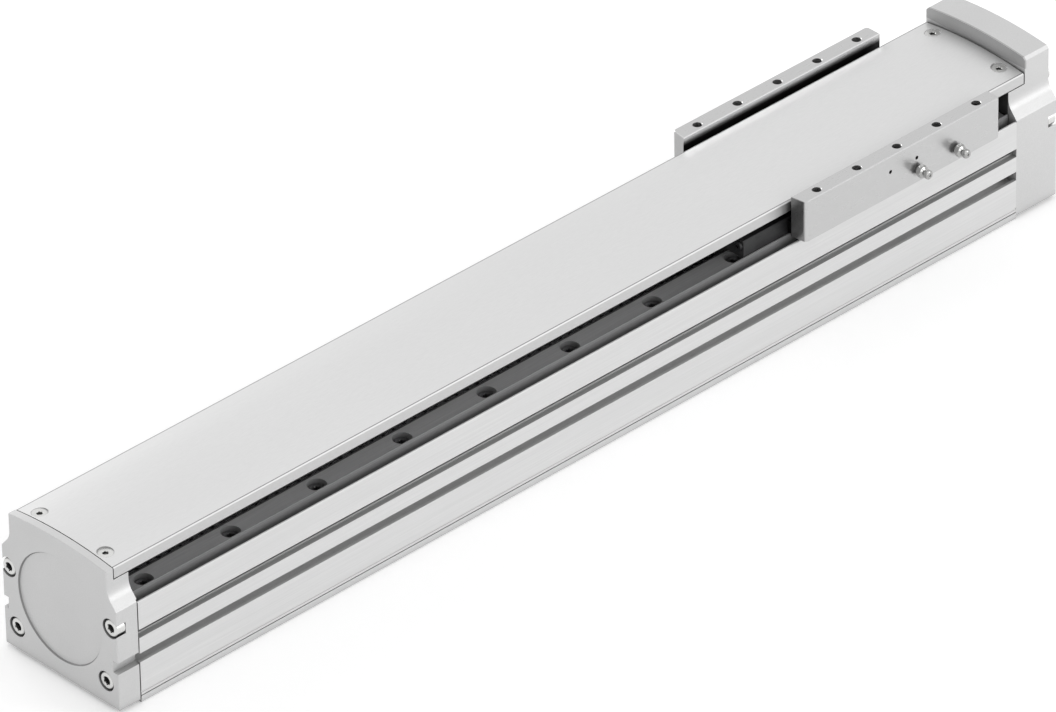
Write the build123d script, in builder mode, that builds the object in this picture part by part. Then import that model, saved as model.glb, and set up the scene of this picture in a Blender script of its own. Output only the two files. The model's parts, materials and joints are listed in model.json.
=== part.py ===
# Ball screw linear axis, in millimetres.
# A U-shaped aluminium profile carries two steel guide rails. The slide runs on four ball
# carriages and is driven by a ball screw that turns in a fixed bearing pair at the drive end
# and in a floating bearing at the idle end. A cover plate closes the top, and the two wings
# of the slide reach out beside it.
# +X runs from the idle end to the drive end, +Y is the left side, +Z is up. The origin is on
# the base face, at the middle of the profile.
from build123d import *
import os
from math import cos, pi, sin

os.makedirs("parts", exist_ok=True)

# Body profile
body_length = 848.0
wall_thickness = 1.6          # thin outer wall beside the rails
wall_groove = 6.4             # groove between that wall and the rail head
wall_drop = 1.4               # the wall ends this far below the top of the rails
rail_seat = 64.2
groove_height = 10.5          # floor of the groove above the rail seat
rail_seat_margin = 3.0        # from the channel to the rail
channel_side_gap = 2.0        # on each side of the nut bracket
channel_floor_gap = 1.0       # below the nut bracket
channel_bevel = 5.0
edge_bevel = 0.8
wall_bevel = 0.6              # outer top edge of the thin wall
chamber_size = (10.0, 17.0)   # hollow chamber in each side wall
chamber_inset = 22.0          # middle of the chamber from the outer face
chamber_height = 35.2

# Slots in the profile
sensor_slot_height = 56.7     # middle of the upper side slot
sensor_slot_mouth = 6.8
sensor_slot_step = 4.7        # depth of the mouth
sensor_slot_ledge = 1.2       # ledge behind the mouth
sensor_slot_depth = 9.5
tee_slot_height = 37.0        # middle of the lower side slot
tee_slot_mouth = 7.3
tee_slot_lip = 2.5
tee_slot_head = 13.0
tee_slot_depth = 12.0
base_slot_spacing = 72.0
base_slot_mouth = 8.0
base_slot_lip = 3.5
base_slot_head = 14.0
base_slot_depth = 12.0
foot_groove_heights = (5.6, 6.4)  # narrow groove above the foot of the side wall
foot_groove_depth = 1.6
foot_line_heights = (8.3, 10.0)  # shallow line above it
foot_line_depth = 0.3

# Guide rails
rail_width = 20.0
rail_height = 20.0
rail_foot_width = 16.8
rail_head_gap = 1.0           # between the shoulder and the rail head
rail_foot_gap = 0.2
rail_bevel = 1.0
rail_lip_width = 1.0
rail_lip_height = 2.0
rail_end_gap = 1.0
rail_hole_pitch = 80.0
rail_hole_start = 20.0        # first hole from the idle end of the profile
rail_hole_inset = 8.3         # hole axis from the outer face of the rail head
rail_bore_depth = 8.2         # counterbore
raceway_gap = 0.15            # between ball row and raceway
raceway_heights = (6.5, 14.5)  # above the rail seat

# M8 socket screws for rails, end cap and drive housing
thread_gap = 0.1              # between a screw and its tapped hole
thread_spare = 1.0            # tapped depth beyond the screw's end
m8_radius = 3.9
m8_through_gap = 0.6
m8_head_radius = 6.5
m8_head_height = 8.0
m8_socket = 6.0
m8_bore_gap = 0.75            # between head and counterbore in the rails
m8_low_head_height = 5.0
m8_low_socket = 5.0
rail_screw_length = 24.0
end_screw_length = 26.0
end_bore_gap = 1.2            # between head and counterbore in the two ends
end_bore_depth = 8.4
end_screw_insets = (6.3, 12.8)  # upper and lower pair, from the outer face
end_screw_drop = 6.8          # upper pair below the floor of the groove
end_screw_low_height = 21.5
end_thread_depth = 24.0

# End cap and drive housing
idle_cap_thickness = 20.0
drive_housing_thickness = 41.0
end_clearance = 2.7           # both ends stay this far above the base face
neck_overhang = 1.2           # neck and cover reach this far beyond the plate of the slide
neck_radius = 14.0
shoulder_lift = 0.9           # shoulder above the wall of the profile
shoulder_slope = 10.0         # height from the shoulder to where slope and neck would meet
corner_radius = 0.8
crown_rise = 3.5
cap_rim = 7.2                 # the part of the cap in front of the cover plate
cap_slot_height = 37.45
cap_slot_width = 9.5
cap_slot_depth = 5.0
seam_width = 1.0              # shadow gap between cap and profile
seam_depth = 3.0
face_recess_radius = 42.5
face_recess_height = 58.4
face_recess_depth = 1.5
hump_thickness = 24.3
hump_lift = 12.0              # above the edges of the cover plate
hump_edge_bevel = 2.0
face_bevel = 0.5              # round the outer face of the cap
face_screw_inset = 6.5        # two flat-headed screws in the drive face, from its sides
face_screw_drop = 12.2        # below the edges of the cover plate
face_screw_head = (6.5, 2.2)  # head radius and height
face_screw_length = 20.0

# Cover plate
cover_clearance = 1.5         # between cover plate and the plate of the slide
cover_rim_gap = 0.8           # between the edge of the cover and the rim of the plate
cover_edge_height = 8.5
cover_edge_width = 4.5
cover_thickness = 3.0
cover_bevel = 0.8
cover_gap = 0.8               # between the cover and the rim of the idle cap
cover_gap_drive = 1.1         # between the cover and the hump
cover_edge_gap = 1.0          # below the edges of the cover
cover_side_gap = 0.4          # beside the ledges
cover_screw_inset = 7.2       # from the idle end of the cover
cover_screw_inset_drive = 10.0
cover_screw_spacing = 66.6
cover_screw_radius = 5.7
cover_screw_recess = 6.1
cover_screw_lift = 1.1        # heads above the edges of the cover
cover_screw_length = 16.0
m6_radius = 2.9
m6_through_gap = 0.3
ledge_hole_gap = 0.6
m6_socket = 4.0

# Slide
travel_to_drive = 4.0         # from the rest position towards the drive end
stop_gap = 0.3                # left at the buffers when the travel ends
wing_length = 195.0
wing_thickness = 13.0
wing_overlap = 4.0            # inner face of the wing inside the outer face of the profile
wing_web = 0.6                # web between plate and flange, beside the carriages
wing_clearance = 3.9          # above the wall of the profile
wing_height = 33.5
wing_corner = 3.0             # outer corners of the wings
wing_nose = 2.0               # inner front corner ahead of the outer one
wing_hole_pitch = 40.0
wing_hole_count = 5
wing_hole_inset = 6.0         # from the inner face of the wing
wing_hole_radius = 3.4        # core of the M8 thread
wing_hole_depth = 18.0
wing_hole_bevel = 0.4
wing_rim_bevel = 0.6
flange_lift = 0.6             # flange above the bottom of the wings
flange_gap = 0.4              # between flange and carriages
flange_notch = 8.0            # length at both ends of the flange without its top
flange_notch_drop = 1.6       # floor of these notches below the plate
plate_thickness = 10.0
plate_rim_width = 5.0         # where the plate passes below the edge of the cover
plate_rear_reach = 16.5       # plate behind the wings

# Ball carriages
carriage_length = 96.0
carriage_inset = 1.0          # from the ends of the plate
carriage_height = 14.5        # from the rail top to the plate
carriage_cap_length = 10.0
wiper_thickness = 1.6
carriage_leg_thickness = 10.0
carriage_leg_gap = 2.5        # between leg and rail seat
guide_gap = 0.3               # between rail and carriage leg
carriage_lift = 0.7           # between rail top and carriage
carriage_lip_gap = 0.5        # between rail lip and carriage
carriage_bevel = 1.0
ball_row_radius = 1.9
lube_port_radius = 3.6
lube_port_length = 2.4
lube_port_hole = 1.4
lube_port_inset = 4.3         # from the outer face of the carriage
lube_port_drop = 4.4          # below the plate
m5_radius = 2.4
m5_through_gap = 0.3
m5_head_recess = 0.5
m5_head_radius = 4.25
m5_head_height = 5.0
m5_bore_gap = 0.5
m5_socket = 4.0
carriage_screw_inset = 11.5   # from the outer face of the carriage
carriage_screw_spacing = 44.0
carriage_screw_length = 16.0

# Ball screw and nut
screw_height = 44.7
screw_radius = 10.0
screw_running_gap = 0.08
thread_bevel = 1.0
thread_run_out = 4.0          # full diameter beyond the profile at the drive end
idle_collar_length = 5.0
idle_collar_step = 1.6
nut_radius = 18.0
nut_length = 54.0
nut_flange_reach = 5.0        # flange beyond the body of the nut
nut_flange_thickness = 9.0
nut_flange_flat = 2.0         # the same at its two flats
nut_screw_reach = 2.4         # screw circle beyond the body of the nut
nut_screw_length = 14.0
bracket_length = 56.0
bracket_wall = 7.0            # round the nut
bracket_end_gap = 3.0         # between bracket and carriages
bracket_screw_spacing = (40.0, 30.0)
bracket_screw_length = 24.0

# Bearings and shaft ends
idle_bearing = (6.0, 14.0, 8.0)      # bore radius, outer radius, width
drive_bearing = (7.5, 16.0, 9.0)
ring_share = 0.26                    # ring thickness as a share of the radial height
shield_thickness = 0.7
shield_gap = 0.15
bearing_seat_gap = 0.02
idle_journal_end = 2.6               # journal beyond the idle bearing
idle_relief_radius = 9.5
idle_relief_gap = 2.0                # ahead of the end of the journal
ring_groove_radius = 5.4
retaining_ring = (5.45, 8.4, 1.1)    # inner radius, outer radius, width
bearing_cover_spigot = 4.0           # reaches from the drive face to the outer rings
seal_radius = 14.0
seal_width = 6.0
seal_journal_radius = 8.5
locknut_radius = 12.2
locknut_width = 7.5
locknut_slot = 3.6
bearing_cover_radius = 24.0
bearing_cover_thickness = 5.0
bearing_cover_gap = 1.2              # round the locknut
bearing_cover_screw_length = 10.0
m4_radius = 1.95
m4_thread_gap = 0.05
m4_through_gap = 0.25
m4_head_radius = 3.5
m4_head_height = 2.4
m4_socket = 2.5
shaft_radius = 6.0
shaft_reach = 30.0                   # drive shaft beyond the drive face
motor_hole_circle = 36.0
motor_hole_radius = 2.5
motor_hole_depth = 14.0

# Buffers and grease nipples
buffer_radius = 9.0
buffer_rise = 2.0                    # middle of the buffers above the lower face of the plate
buffer_pocket = 6.0
buffer_reach_idle = 6.7              # into the space between the two ends
buffer_reach_drive = 5.7
buffer_bevel = 0.8
nipple_places = (14.2, 52.7)         # along X from the middle of the wings
nipple_rise = 10.6                   # above the bottom of the wings
nipple_hex = 8.6
nipple_hex_length = 4.4
nipple_length = 12.4
nipple_stem = 4.0
plug_offset = 13.2
plug_rise = 20.6
plug_radius = 1.5
plug_depth = 6.0

# Fits of the screws
m8_hole_radius = m8_radius + thread_gap
m8_through_radius = m8_radius + m8_through_gap
m8_bore_radius = m8_head_radius + m8_bore_gap
end_bore_radius = m8_head_radius + end_bore_gap
m6_hole_radius = m6_radius + thread_gap
m6_through_radius = m6_radius + m6_through_gap
ledge_hole_radius = m6_radius + ledge_hole_gap
m5_hole_radius = m5_radius + thread_gap
m5_through_radius = m5_radius + m5_through_gap
m5_bore_radius = m5_head_radius + m5_bore_gap
m4_hole_radius = m4_radius + m4_thread_gap
m4_through_radius = m4_radius + m4_through_gap

# Places across the axis, from the ball nut outwards
bracket_half = nut_radius + bracket_wall
channel_half = bracket_half + channel_side_gap
channel_floor = screw_height - bracket_half - channel_floor_gap
raceway_radius = ball_row_radius + raceway_gap
rail_inner = channel_half + rail_seat_margin
rail_outer = rail_inner + rail_width
half = rail_outer + wall_groove + wall_thickness
rail_foot_outer = rail_inner + rail_foot_width
shoulder_y = rail_foot_outer + rail_foot_gap
rail_hole_y = rail_outer - rail_hole_inset
chamber_y = half - chamber_inset
carriage_outer = rail_outer - rail_lip_width - carriage_lip_gap
carriage_leg_outer = rail_inner - guide_gap
carriage_leg_inner = carriage_leg_outer - carriage_leg_thickness
carriage_screw_y = carriage_outer - carriage_screw_inset
flange_inner = carriage_outer + flange_gap
plate_half = flange_inner - wing_web
neck_half = plate_half + neck_overhang
ledge_half = neck_half - cover_edge_width
wing_inner = half - wing_overlap
wing_outer = wing_inner + wing_thickness
wing_hole_y = wing_inner + wing_hole_inset

# Heights, from the rail seat upwards
groove_floor = rail_seat + groove_height
rail_top = rail_seat + rail_height
body_height = rail_top - wall_drop
shoulder_height = body_height + shoulder_lift
neck_start = shoulder_height + shoulder_slope
carriage_leg_bottom = rail_seat + carriage_leg_gap
carriage_bottom = rail_top + carriage_lift
plate_bottom = rail_top + carriage_height
plate_top = plate_bottom + plate_thickness
buffer_height = plate_bottom + buffer_rise
cover_top = plate_top + cover_clearance + cover_thickness
cover_bottom = cover_top - cover_edge_height
ledge_edge = cover_top - cover_thickness
cover_screw_top = cover_top + cover_screw_lift
plate_rim_height = cover_bottom - cover_rim_gap
hump_edge_height = cover_top + hump_lift
wing_bottom = body_height + wing_clearance
wing_top = wing_bottom + wing_height
flange_bottom = wing_bottom + flange_lift
nipple_height = wing_bottom + nipple_rise
plug_height = wing_bottom + plug_rise

# Places along the axis
idle_end = -body_length / 2
drive_end = body_length / 2
idle_face = idle_end - idle_cap_thickness
drive_face = drive_end + drive_housing_thickness
idle_buffer_face = idle_end + buffer_reach_idle
drive_buffer_face = drive_end - buffer_reach_drive
rail_hole_count = int((body_length - rail_hole_start) // rail_hole_pitch) + 1
rail_hole_xs = [idle_end + rail_hole_start + rail_hole_pitch * i for i in range(rail_hole_count)]
hump_front = drive_face - hump_thickness
cover_start = idle_face + cap_rim
cover_screw_xs = (cover_start + cover_screw_inset, hump_front - cover_screw_inset_drive)
plate_rear = drive_buffer_face - stop_gap - travel_to_drive
plate_front = plate_rear - bracket_length - 2 * (bracket_end_gap + carriage_length + carriage_inset)
wing_rear = plate_rear - plate_rear_reach
wing_front = wing_rear - wing_length
slide_middle = (wing_front + wing_rear) / 2
carriage_middles = {
    "front": plate_front + carriage_inset + carriage_length / 2,
    "rear": plate_rear - carriage_inset - carriage_length / 2,
}
nut_middle = (plate_front + plate_rear) / 2
bracket_front = nut_middle - bracket_length / 2
drive_seat_depth = 2 * drive_bearing[2] + bearing_cover_spigot
bearing_start = drive_face - drive_seat_depth
bearing_cover_bore = locknut_radius + bearing_cover_gap
bearing_cover_screw_circle = (drive_bearing[1] + bearing_cover_radius) / 2
idle_bearing_start = idle_end - idle_bearing[2]
idle_relief_depth = idle_bearing[2] + idle_journal_end + idle_relief_gap
nut_screw_circle = nut_radius + nut_screw_reach
sides = {"left": 1, "right": -1}
screw_axis = Axis((0, 0, screw_height), (1, 0, 0))
screw_plane = Plane(origin=(0, 0, screw_height), x_dir=(1, 0, 0), z_dir=(0, -1, 0))


def raceways(s):
    """Middles of the ball raceways between a rail and its carriages."""
    return [(s * (rail_inner - guide_gap / 2), rail_seat + height) for height in raceway_heights]


def save(block, name):
    """Label a finished piece and write it to its own STEP file."""
    block.part.label = name
    export_step(block.part, f"parts/{name}.step")


def turned(*outline):
    """A solid turned about the screw axis from (x, radius) points."""
    with BuildPart() as block:
        with BuildSketch(screw_plane):
            with BuildLine():
                Polyline(*outline, close=True)
            make_face()
        revolve(axis=screw_axis)
    return block


def ring(start, width, inner, outer):
    """A plain ring about the screw axis."""
    return turned((start, inner), (start + width, inner), (start + width, outer), (start, outer))


def socket_screw(radius, length, head_radius, head_height, socket):
    """Cap screw that points down, with its head resting on z = 0."""
    with BuildPart() as screw:
        Cylinder(head_radius, head_height, align=(Align.CENTER, Align.CENTER, Align.MIN))
        Cylinder(radius, length, align=(Align.CENTER, Align.CENTER, Align.MAX))
        with BuildSketch(Plane.XY.offset(head_height)):
            RegularPolygon(socket / 2, 6, major_radius=False)
        extrude(amount=-head_height / 2, mode=Mode.SUBTRACT)
    return screw.part


def placed(piece, places):
    """One group of equal pieces at the given locations."""
    with BuildPart() as group:
        with Locations(*places):
            add(piece)
    return group


def end_section(top_edge, top_rise):
    """Cross-section of an end piece: body width below, narrower neck, crowned top."""
    with BuildSketch() as section:
        with BuildLine():
            FilletPolyline(
                (0, end_clearance), (half, end_clearance), (half, shoulder_height),
                (neck_half, neck_start), (neck_half, top_edge),
                radius=[corner_radius, 1.0, neck_radius],
            )
            mirror(about=Plane.YZ)
            ThreePointArc((-neck_half, top_edge), (0, top_edge + top_rise), (neck_half, top_edge))
        make_face()
    return section.sketch


def ledge_section():
    """What lies below the cover plate: a flat land on each side and a crowned middle."""
    land = cover_bottom - cover_edge_gap
    inner = ledge_half - cover_side_gap
    with BuildSketch() as section:
        with BuildLine():
            FilletPolyline(
                (0, end_clearance), (half, end_clearance), (half, shoulder_height),
                (neck_half, neck_start), (neck_half, land), (inner, land), (inner, ledge_edge),
                radius=[corner_radius, 1.0, neck_radius, 0.3, 0.3],
            )
            mirror(about=Plane.YZ)
            ThreePointArc((-inner, ledge_edge), (0, ledge_edge + crown_rise), (inner, ledge_edge))
        make_face()
    return section.sketch


end_screw_heights = (groove_floor - end_screw_drop, end_screw_low_height)
end_screw_places = [(s * (half - inset), z) for s in sides.values()
                    for inset, z in zip(end_screw_insets, end_screw_heights)]
face_screw_places = [(s * (neck_half - face_screw_inset), cover_top - face_screw_drop)
                     for s in sides.values()]

# Body profile: one extruded section with its slots, then the tapped holes
with BuildPart() as body_profile:
    with BuildSketch(Plane.YZ.offset(idle_end)):
        with BuildLine():
            Polyline(
                (0, 0), (half - edge_bevel, 0), (half, edge_bevel), (half, body_height - wall_bevel),
                (half - wall_bevel, body_height), (half - wall_thickness, body_height),
                (half - wall_thickness, groove_floor),
                (shoulder_y, groove_floor), (shoulder_y, rail_seat), (channel_half, rail_seat),
                (channel_half, channel_floor + channel_bevel),
                (channel_half - channel_bevel, channel_floor), (0, channel_floor),
            )
            mirror(about=Plane.YZ)
        make_face()
        for s in sides.values():
            with Locations((s * half, sensor_slot_height)):
                Rectangle(2 * sensor_slot_step, sensor_slot_mouth, mode=Mode.SUBTRACT)
            with Locations((s * half, sensor_slot_height + sensor_slot_ledge / 2)):
                Rectangle(2 * sensor_slot_depth, sensor_slot_mouth - sensor_slot_ledge, mode=Mode.SUBTRACT)
            with Locations((s * half, tee_slot_height)):
                Rectangle(2 * tee_slot_depth, tee_slot_mouth, mode=Mode.SUBTRACT)
            with Locations((s * (half - (tee_slot_lip + tee_slot_depth) / 2), tee_slot_height)):
                Rectangle(tee_slot_depth - tee_slot_lip, tee_slot_head, mode=Mode.SUBTRACT)
            with Locations((s * base_slot_spacing / 2, 0)):
                Rectangle(base_slot_mouth, 2 * base_slot_depth, mode=Mode.SUBTRACT)
            with Locations((s * base_slot_spacing / 2, (base_slot_lip + base_slot_depth) / 2)):
                Rectangle(base_slot_head, base_slot_depth - base_slot_lip, mode=Mode.SUBTRACT)
            for (low, high), depth in ((foot_groove_heights, foot_groove_depth),
                                       (foot_line_heights, foot_line_depth)):
                with Locations((s * half, (low + high) / 2)):
                    Rectangle(2 * depth, high - low, mode=Mode.SUBTRACT)
            with Locations((s * chamber_y, chamber_height)):
                RectangleRounded(*chamber_size, 2.0, mode=Mode.SUBTRACT)
    extrude(amount=body_length)
    with Locations(*[(x, s * rail_hole_y, rail_seat) for x in rail_hole_xs for s in sides.values()]):
        Hole(m8_hole_radius, depth=rail_screw_length - (rail_height - rail_bore_depth) + thread_spare)
    for plane in (Plane.YZ.offset(idle_end + end_thread_depth), Plane.YZ.offset(drive_end)):
        with Locations(plane):
            with Locations(*end_screw_places):
                Hole(m8_hole_radius, depth=end_thread_depth)
save(body_profile, "body_profile")

# Guide rails: a foot against the shoulder of the profile, a wider head with a raised outer lip,
# two ball raceways in the inner face
for name, s in sides.items():
    with BuildPart() as guide_rail:
        with BuildSketch(Plane.YZ.offset(idle_end + rail_end_gap)):
            with BuildLine():
                Polyline(
                    (s * rail_inner, rail_seat), (s * rail_foot_outer, rail_seat),
                    (s * rail_foot_outer, groove_floor + rail_head_gap),
                    (s * rail_outer, groove_floor + rail_head_gap),
                    (s * rail_outer, rail_top + rail_lip_height),
                    (s * (rail_outer - rail_lip_width), rail_top + rail_lip_height),
                    (s * (rail_outer - rail_lip_width), rail_top),
                    (s * (rail_inner + rail_bevel), rail_top),
                    (s * rail_inner, rail_top - rail_bevel), close=True,
                )
            make_face()
            with Locations(*raceways(s)):
                Circle(raceway_radius, mode=Mode.SUBTRACT)
        extrude(amount=body_length - 2 * rail_end_gap)
        with Locations(*[(x, s * rail_hole_y, rail_top) for x in rail_hole_xs]):
            CounterBoreHole(m8_through_radius, m8_bore_radius, rail_bore_depth)
    save(guide_rail, f"guide_rail_{name}")

rail_screw = socket_screw(m8_radius, rail_screw_length, m8_head_radius, m8_low_head_height, m8_low_socket)
for name, s in sides.items():
    seats = [Location((x, s * rail_hole_y, rail_top - rail_bore_depth)) for x in rail_hole_xs]
    save(placed(rail_screw, seats), f"rail_screws_{name}")

# Idle end cap: rim in front of the cover plate, ledge below it, bearing pocket inside
with BuildPart() as idle_end_cap:
    with BuildSketch(Plane.YZ.offset(idle_face)):
        add(end_section(cover_top, crown_rise))
    extrude(amount=cap_rim - cover_gap)
    chamfer(idle_end_cap.faces().sort_by(Axis.X)[0].edges(), length=face_bevel)
    with BuildSketch(Plane.YZ.offset(idle_face + cap_rim - cover_gap)):
        add(ledge_section())
    extrude(amount=idle_cap_thickness - cap_rim + cover_gap)
    with BuildSketch(Plane.YZ.offset(idle_face)):
        with Locations((0, face_recess_height)):
            Circle(face_recess_radius)
    extrude(amount=face_recess_depth, taper=35, mode=Mode.SUBTRACT)
    with Locations(Plane(origin=(idle_face, 0, 0), x_dir=(0, -1, 0), z_dir=(-1, 0, 0))):
        with Locations(*end_screw_places):
            CounterBoreHole(m8_through_radius, end_bore_radius, end_bore_depth)
    for s in sides.values():
        with Locations(((idle_face + idle_end) / 2, s * half, cap_slot_height)):
            Box(idle_cap_thickness, 2 * cap_slot_depth, cap_slot_width, mode=Mode.SUBTRACT)
        with Locations((idle_end, s * half, (end_clearance + shoulder_height) / 2)):
            Box(2 * seam_width, 2 * seam_depth, shoulder_height, mode=Mode.SUBTRACT)
        with Locations((cover_screw_xs[0], s * cover_screw_spacing / 2, cover_top)):
            Hole(ledge_hole_radius, depth=cover_screw_length)
    add(ring(idle_bearing_start, idle_bearing[2], 0, idle_bearing[1] + bearing_seat_gap).part,
        mode=Mode.SUBTRACT)
    add(ring(idle_end - idle_relief_depth, idle_relief_depth, 0, idle_relief_radius).part,
        mode=Mode.SUBTRACT)
    with Locations((idle_end, 0, buffer_height)):
        Cylinder(buffer_radius, 2 * buffer_pocket, rotation=(0, 90, 0), mode=Mode.SUBTRACT)
save(idle_end_cap, "idle_end_cap")

# Drive end housing: the ledge below the cover plate, the hump behind it, the bearing seat
with BuildPart() as drive_end_housing:
    with BuildSketch(Plane.YZ.offset(drive_end)):
        add(ledge_section())
    extrude(amount=drive_housing_thickness - hump_thickness)
    with BuildSketch(Plane.YZ.offset(hump_front)):
        add(end_section(hump_edge_height, crown_rise))
    extrude(amount=hump_thickness)
    top_corners = [e for e in drive_end_housing.edges().filter_by(Axis.X)
                   if abs(e.center().Z - hump_edge_height) < 0.5]
    chamfer(top_corners, length=hump_edge_bevel)
    with Locations(Plane.YZ.offset(drive_face)):
        with Locations(*end_screw_places):
            CounterBoreHole(m8_through_radius, end_bore_radius, end_bore_depth)
        with Locations(*face_screw_places):
            Hole(m6_hole_radius, depth=face_screw_length + thread_spare)
        with Locations((0, screw_height)):
            with PolarLocations(motor_hole_circle, 4, start_angle=45):
                Hole(motor_hole_radius, depth=motor_hole_depth)
            with PolarLocations(bearing_cover_screw_circle, 4):
                Hole(m4_hole_radius, depth=bearing_cover_screw_length)
    for s in sides.values():
        with Locations((cover_screw_xs[1], s * cover_screw_spacing / 2, cover_top)):
            Hole(ledge_hole_radius, depth=cover_screw_length)
    add(ring(bearing_start, drive_seat_depth, 0, drive_bearing[1] + bearing_seat_gap).part,
        mode=Mode.SUBTRACT)
    add(ring(drive_end, bearing_start - drive_end, 0, seal_radius).part, mode=Mode.SUBTRACT)
    with Locations((drive_end, 0, buffer_height)):
        Cylinder(buffer_radius, 2 * buffer_pocket, rotation=(0, 90, 0), mode=Mode.SUBTRACT)
save(drive_end_housing, "drive_end_housing")

end_screw = socket_screw(m8_radius, end_screw_length, m8_head_radius, m8_head_height, m8_socket)
idle_seats = [Location((idle_face + end_bore_depth, y, z), (0, -90, 0)) for y, z in end_screw_places]
save(placed(end_screw, idle_seats), "idle_cap_screws")
long_end_screw = socket_screw(m8_radius, end_screw_length + drive_housing_thickness - idle_cap_thickness,
                              m8_head_radius, m8_head_height, m8_socket)
drive_seats = [Location((drive_face - end_bore_depth, y, z), (0, 90, 0)) for y, z in end_screw_places]
save(placed(long_end_screw, drive_seats), "drive_housing_screws")
face_screw = socket_screw(m6_radius, face_screw_length, *face_screw_head, m6_socket)
face_seats = [Location((drive_face, y, z), (0, 90, 0)) for y, z in face_screw_places]
save(placed(face_screw, face_seats), "drive_face_screws")

# Cover plate: crowned sheet with a thick edge on each side
with BuildPart() as cover_plate:
    with BuildSketch(Plane.YZ.offset(cover_start)):
        with BuildLine():
            Polyline(
                (ledge_half, ledge_edge), (ledge_half, cover_bottom), (neck_half, cover_bottom),
                (neck_half, cover_top - cover_bevel), (neck_half - cover_bevel, cover_top),
            )
            mirror(about=Plane.YZ)
            ThreePointArc((cover_bevel - neck_half, cover_top), (0, cover_top + crown_rise),
                          (neck_half - cover_bevel, cover_top))
            ThreePointArc((-ledge_half, ledge_edge), (0, ledge_edge + crown_rise), (ledge_half, ledge_edge))
        make_face()
    extrude(amount=hump_front - cover_gap_drive - cover_start)
    with Locations(*[(x, s * cover_screw_spacing / 2, cover_screw_top)
                     for x in cover_screw_xs for s in sides.values()]):
        CounterSinkHole(m6_through_radius, cover_screw_radius + 0.1, counter_sink_angle=90)
        Cylinder(cover_screw_recess, crown_rise, align=(Align.CENTER, Align.CENTER, Align.MIN),
                 mode=Mode.SUBTRACT)
save(cover_plate, "cover_plate")

# Countersunk cover screws, heads at z = 0
with BuildPart() as countersunk_screw:
    Cone(m6_radius, cover_screw_radius, cover_screw_radius - m6_radius,
         align=(Align.CENTER, Align.CENTER, Align.MAX))
    Cylinder(m6_radius, cover_screw_length, align=(Align.CENTER, Align.CENTER, Align.MAX))
    with BuildSketch():
        RegularPolygon(m6_socket / 2, 6, major_radius=False)
    extrude(amount=-m6_socket / 2, mode=Mode.SUBTRACT)
cover_seats = [Location((x, s * cover_screw_spacing / 2, cover_screw_top))
               for x in cover_screw_xs for s in sides.values()]
save(placed(countersunk_screw.part, cover_seats), "cover_screws")

# Slide body: plate under the cover, a flange out through each side gap, and the two wings
wing_hole_xs = [slide_middle + wing_hole_pitch * (i - (wing_hole_count - 1) / 2)
                for i in range(wing_hole_count)]
carriage_screw_places = [
    (x + dx, s * carriage_screw_y)
    for x in carriage_middles.values() for dx in (-carriage_screw_spacing / 2, carriage_screw_spacing / 2)
    for s in sides.values()
]
bracket_screw_places = [
    (nut_middle + sx * bracket_screw_spacing[0] / 2, sy * bracket_screw_spacing[1] / 2)
    for sx in (-1, 1) for sy in (-1, 1)
]
with BuildPart() as slide_body:
    with BuildSketch(Plane.YZ.offset(plate_front)):
        with BuildLine():
            Polyline(
                (0, plate_bottom), (plate_half, plate_bottom), (plate_half, plate_rim_height),
                (plate_half - plate_rim_width, plate_rim_height),
                (plate_half - plate_rim_width - 1, plate_top), (0, plate_top),
            )
            mirror(about=Plane.YZ)
        make_face()
    extrude(amount=plate_rear - plate_front)
    for s in sides.values():
        with BuildSketch(Plane.YZ.offset(wing_front)):
            with BuildLine():
                Polyline(
                    (s * (plate_half - 1), plate_bottom), (s * flange_inner, plate_bottom),
                    (s * flange_inner, flange_bottom), (s * wing_inner, flange_bottom),
                    (s * wing_inner, plate_rim_height), (s * (plate_half - 1), plate_rim_height),
                    close=True,
                )
            make_face()
        extrude(amount=wing_length)
        with BuildSketch(Plane.XY.offset(wing_bottom)) as wing:
            with BuildLine():
                Polyline(
                    (wing_front - wing_nose, s * wing_inner), (wing_front, s * wing_outer),
                    (wing_rear, s * wing_outer), (wing_rear, s * wing_inner), close=True,
                )
            make_face()
            fillet([v for v in wing.vertices() if abs(v.Y - s * wing_outer) < 0.1], radius=wing_corner)
        extrude(amount=wing_top - wing_bottom)
        for x in (plate_front, plate_rear):
            inner_x = wing_front + flange_notch if x < slide_middle else wing_rear - flange_notch
            with Locations(((x + inner_x) / 2, s * (plate_half - plate_rim_width + wing_inner) / 2,
                            (plate_bottom - flange_notch_drop + plate_rim_height) / 2)):
                Box(abs(x - inner_x), wing_inner - plate_half + plate_rim_width,
                    plate_rim_height - plate_bottom + flange_notch_drop, mode=Mode.SUBTRACT)
    wing_rim = slide_body.faces().filter_by(Axis.Z).group_by(Axis.Z)[-1].edges()
    chamfer(wing_rim, length=wing_rim_bevel)
    with Locations(*[(x, s * wing_hole_y, wing_top) for x in wing_hole_xs for s in sides.values()]):
        Hole(wing_hole_radius, depth=wing_hole_depth)
        Cone(wing_hole_radius, wing_hole_radius + wing_hole_bevel, wing_hole_bevel,
             align=(Align.CENTER, Align.CENTER, Align.MAX), mode=Mode.SUBTRACT)
    with Locations(*[(x, y, plate_top) for x, y in carriage_screw_places]):
        CounterBoreHole(m5_through_radius, m5_bore_radius, m5_head_height + m5_head_recess)
    with Locations(*[(x, y, plate_top) for x, y in bracket_screw_places]):
        CounterBoreHole(m5_through_radius, m5_bore_radius, m5_head_height + m5_head_recess)
    nipple_side = -wing_outer
    with Locations(Plane(origin=(slide_middle, nipple_side, 0), x_dir=(1, 0, 0), z_dir=(0, -1, 0))):
        with Locations((-plug_offset, plug_height), (plug_offset, plug_height)):
            Hole(plug_radius, depth=plug_depth)
        with Locations(*[(x, nipple_height) for x in nipple_places]):
            Hole(m6_hole_radius, depth=wing_thickness / 2)
save(slide_body, "slide_body")

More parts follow.
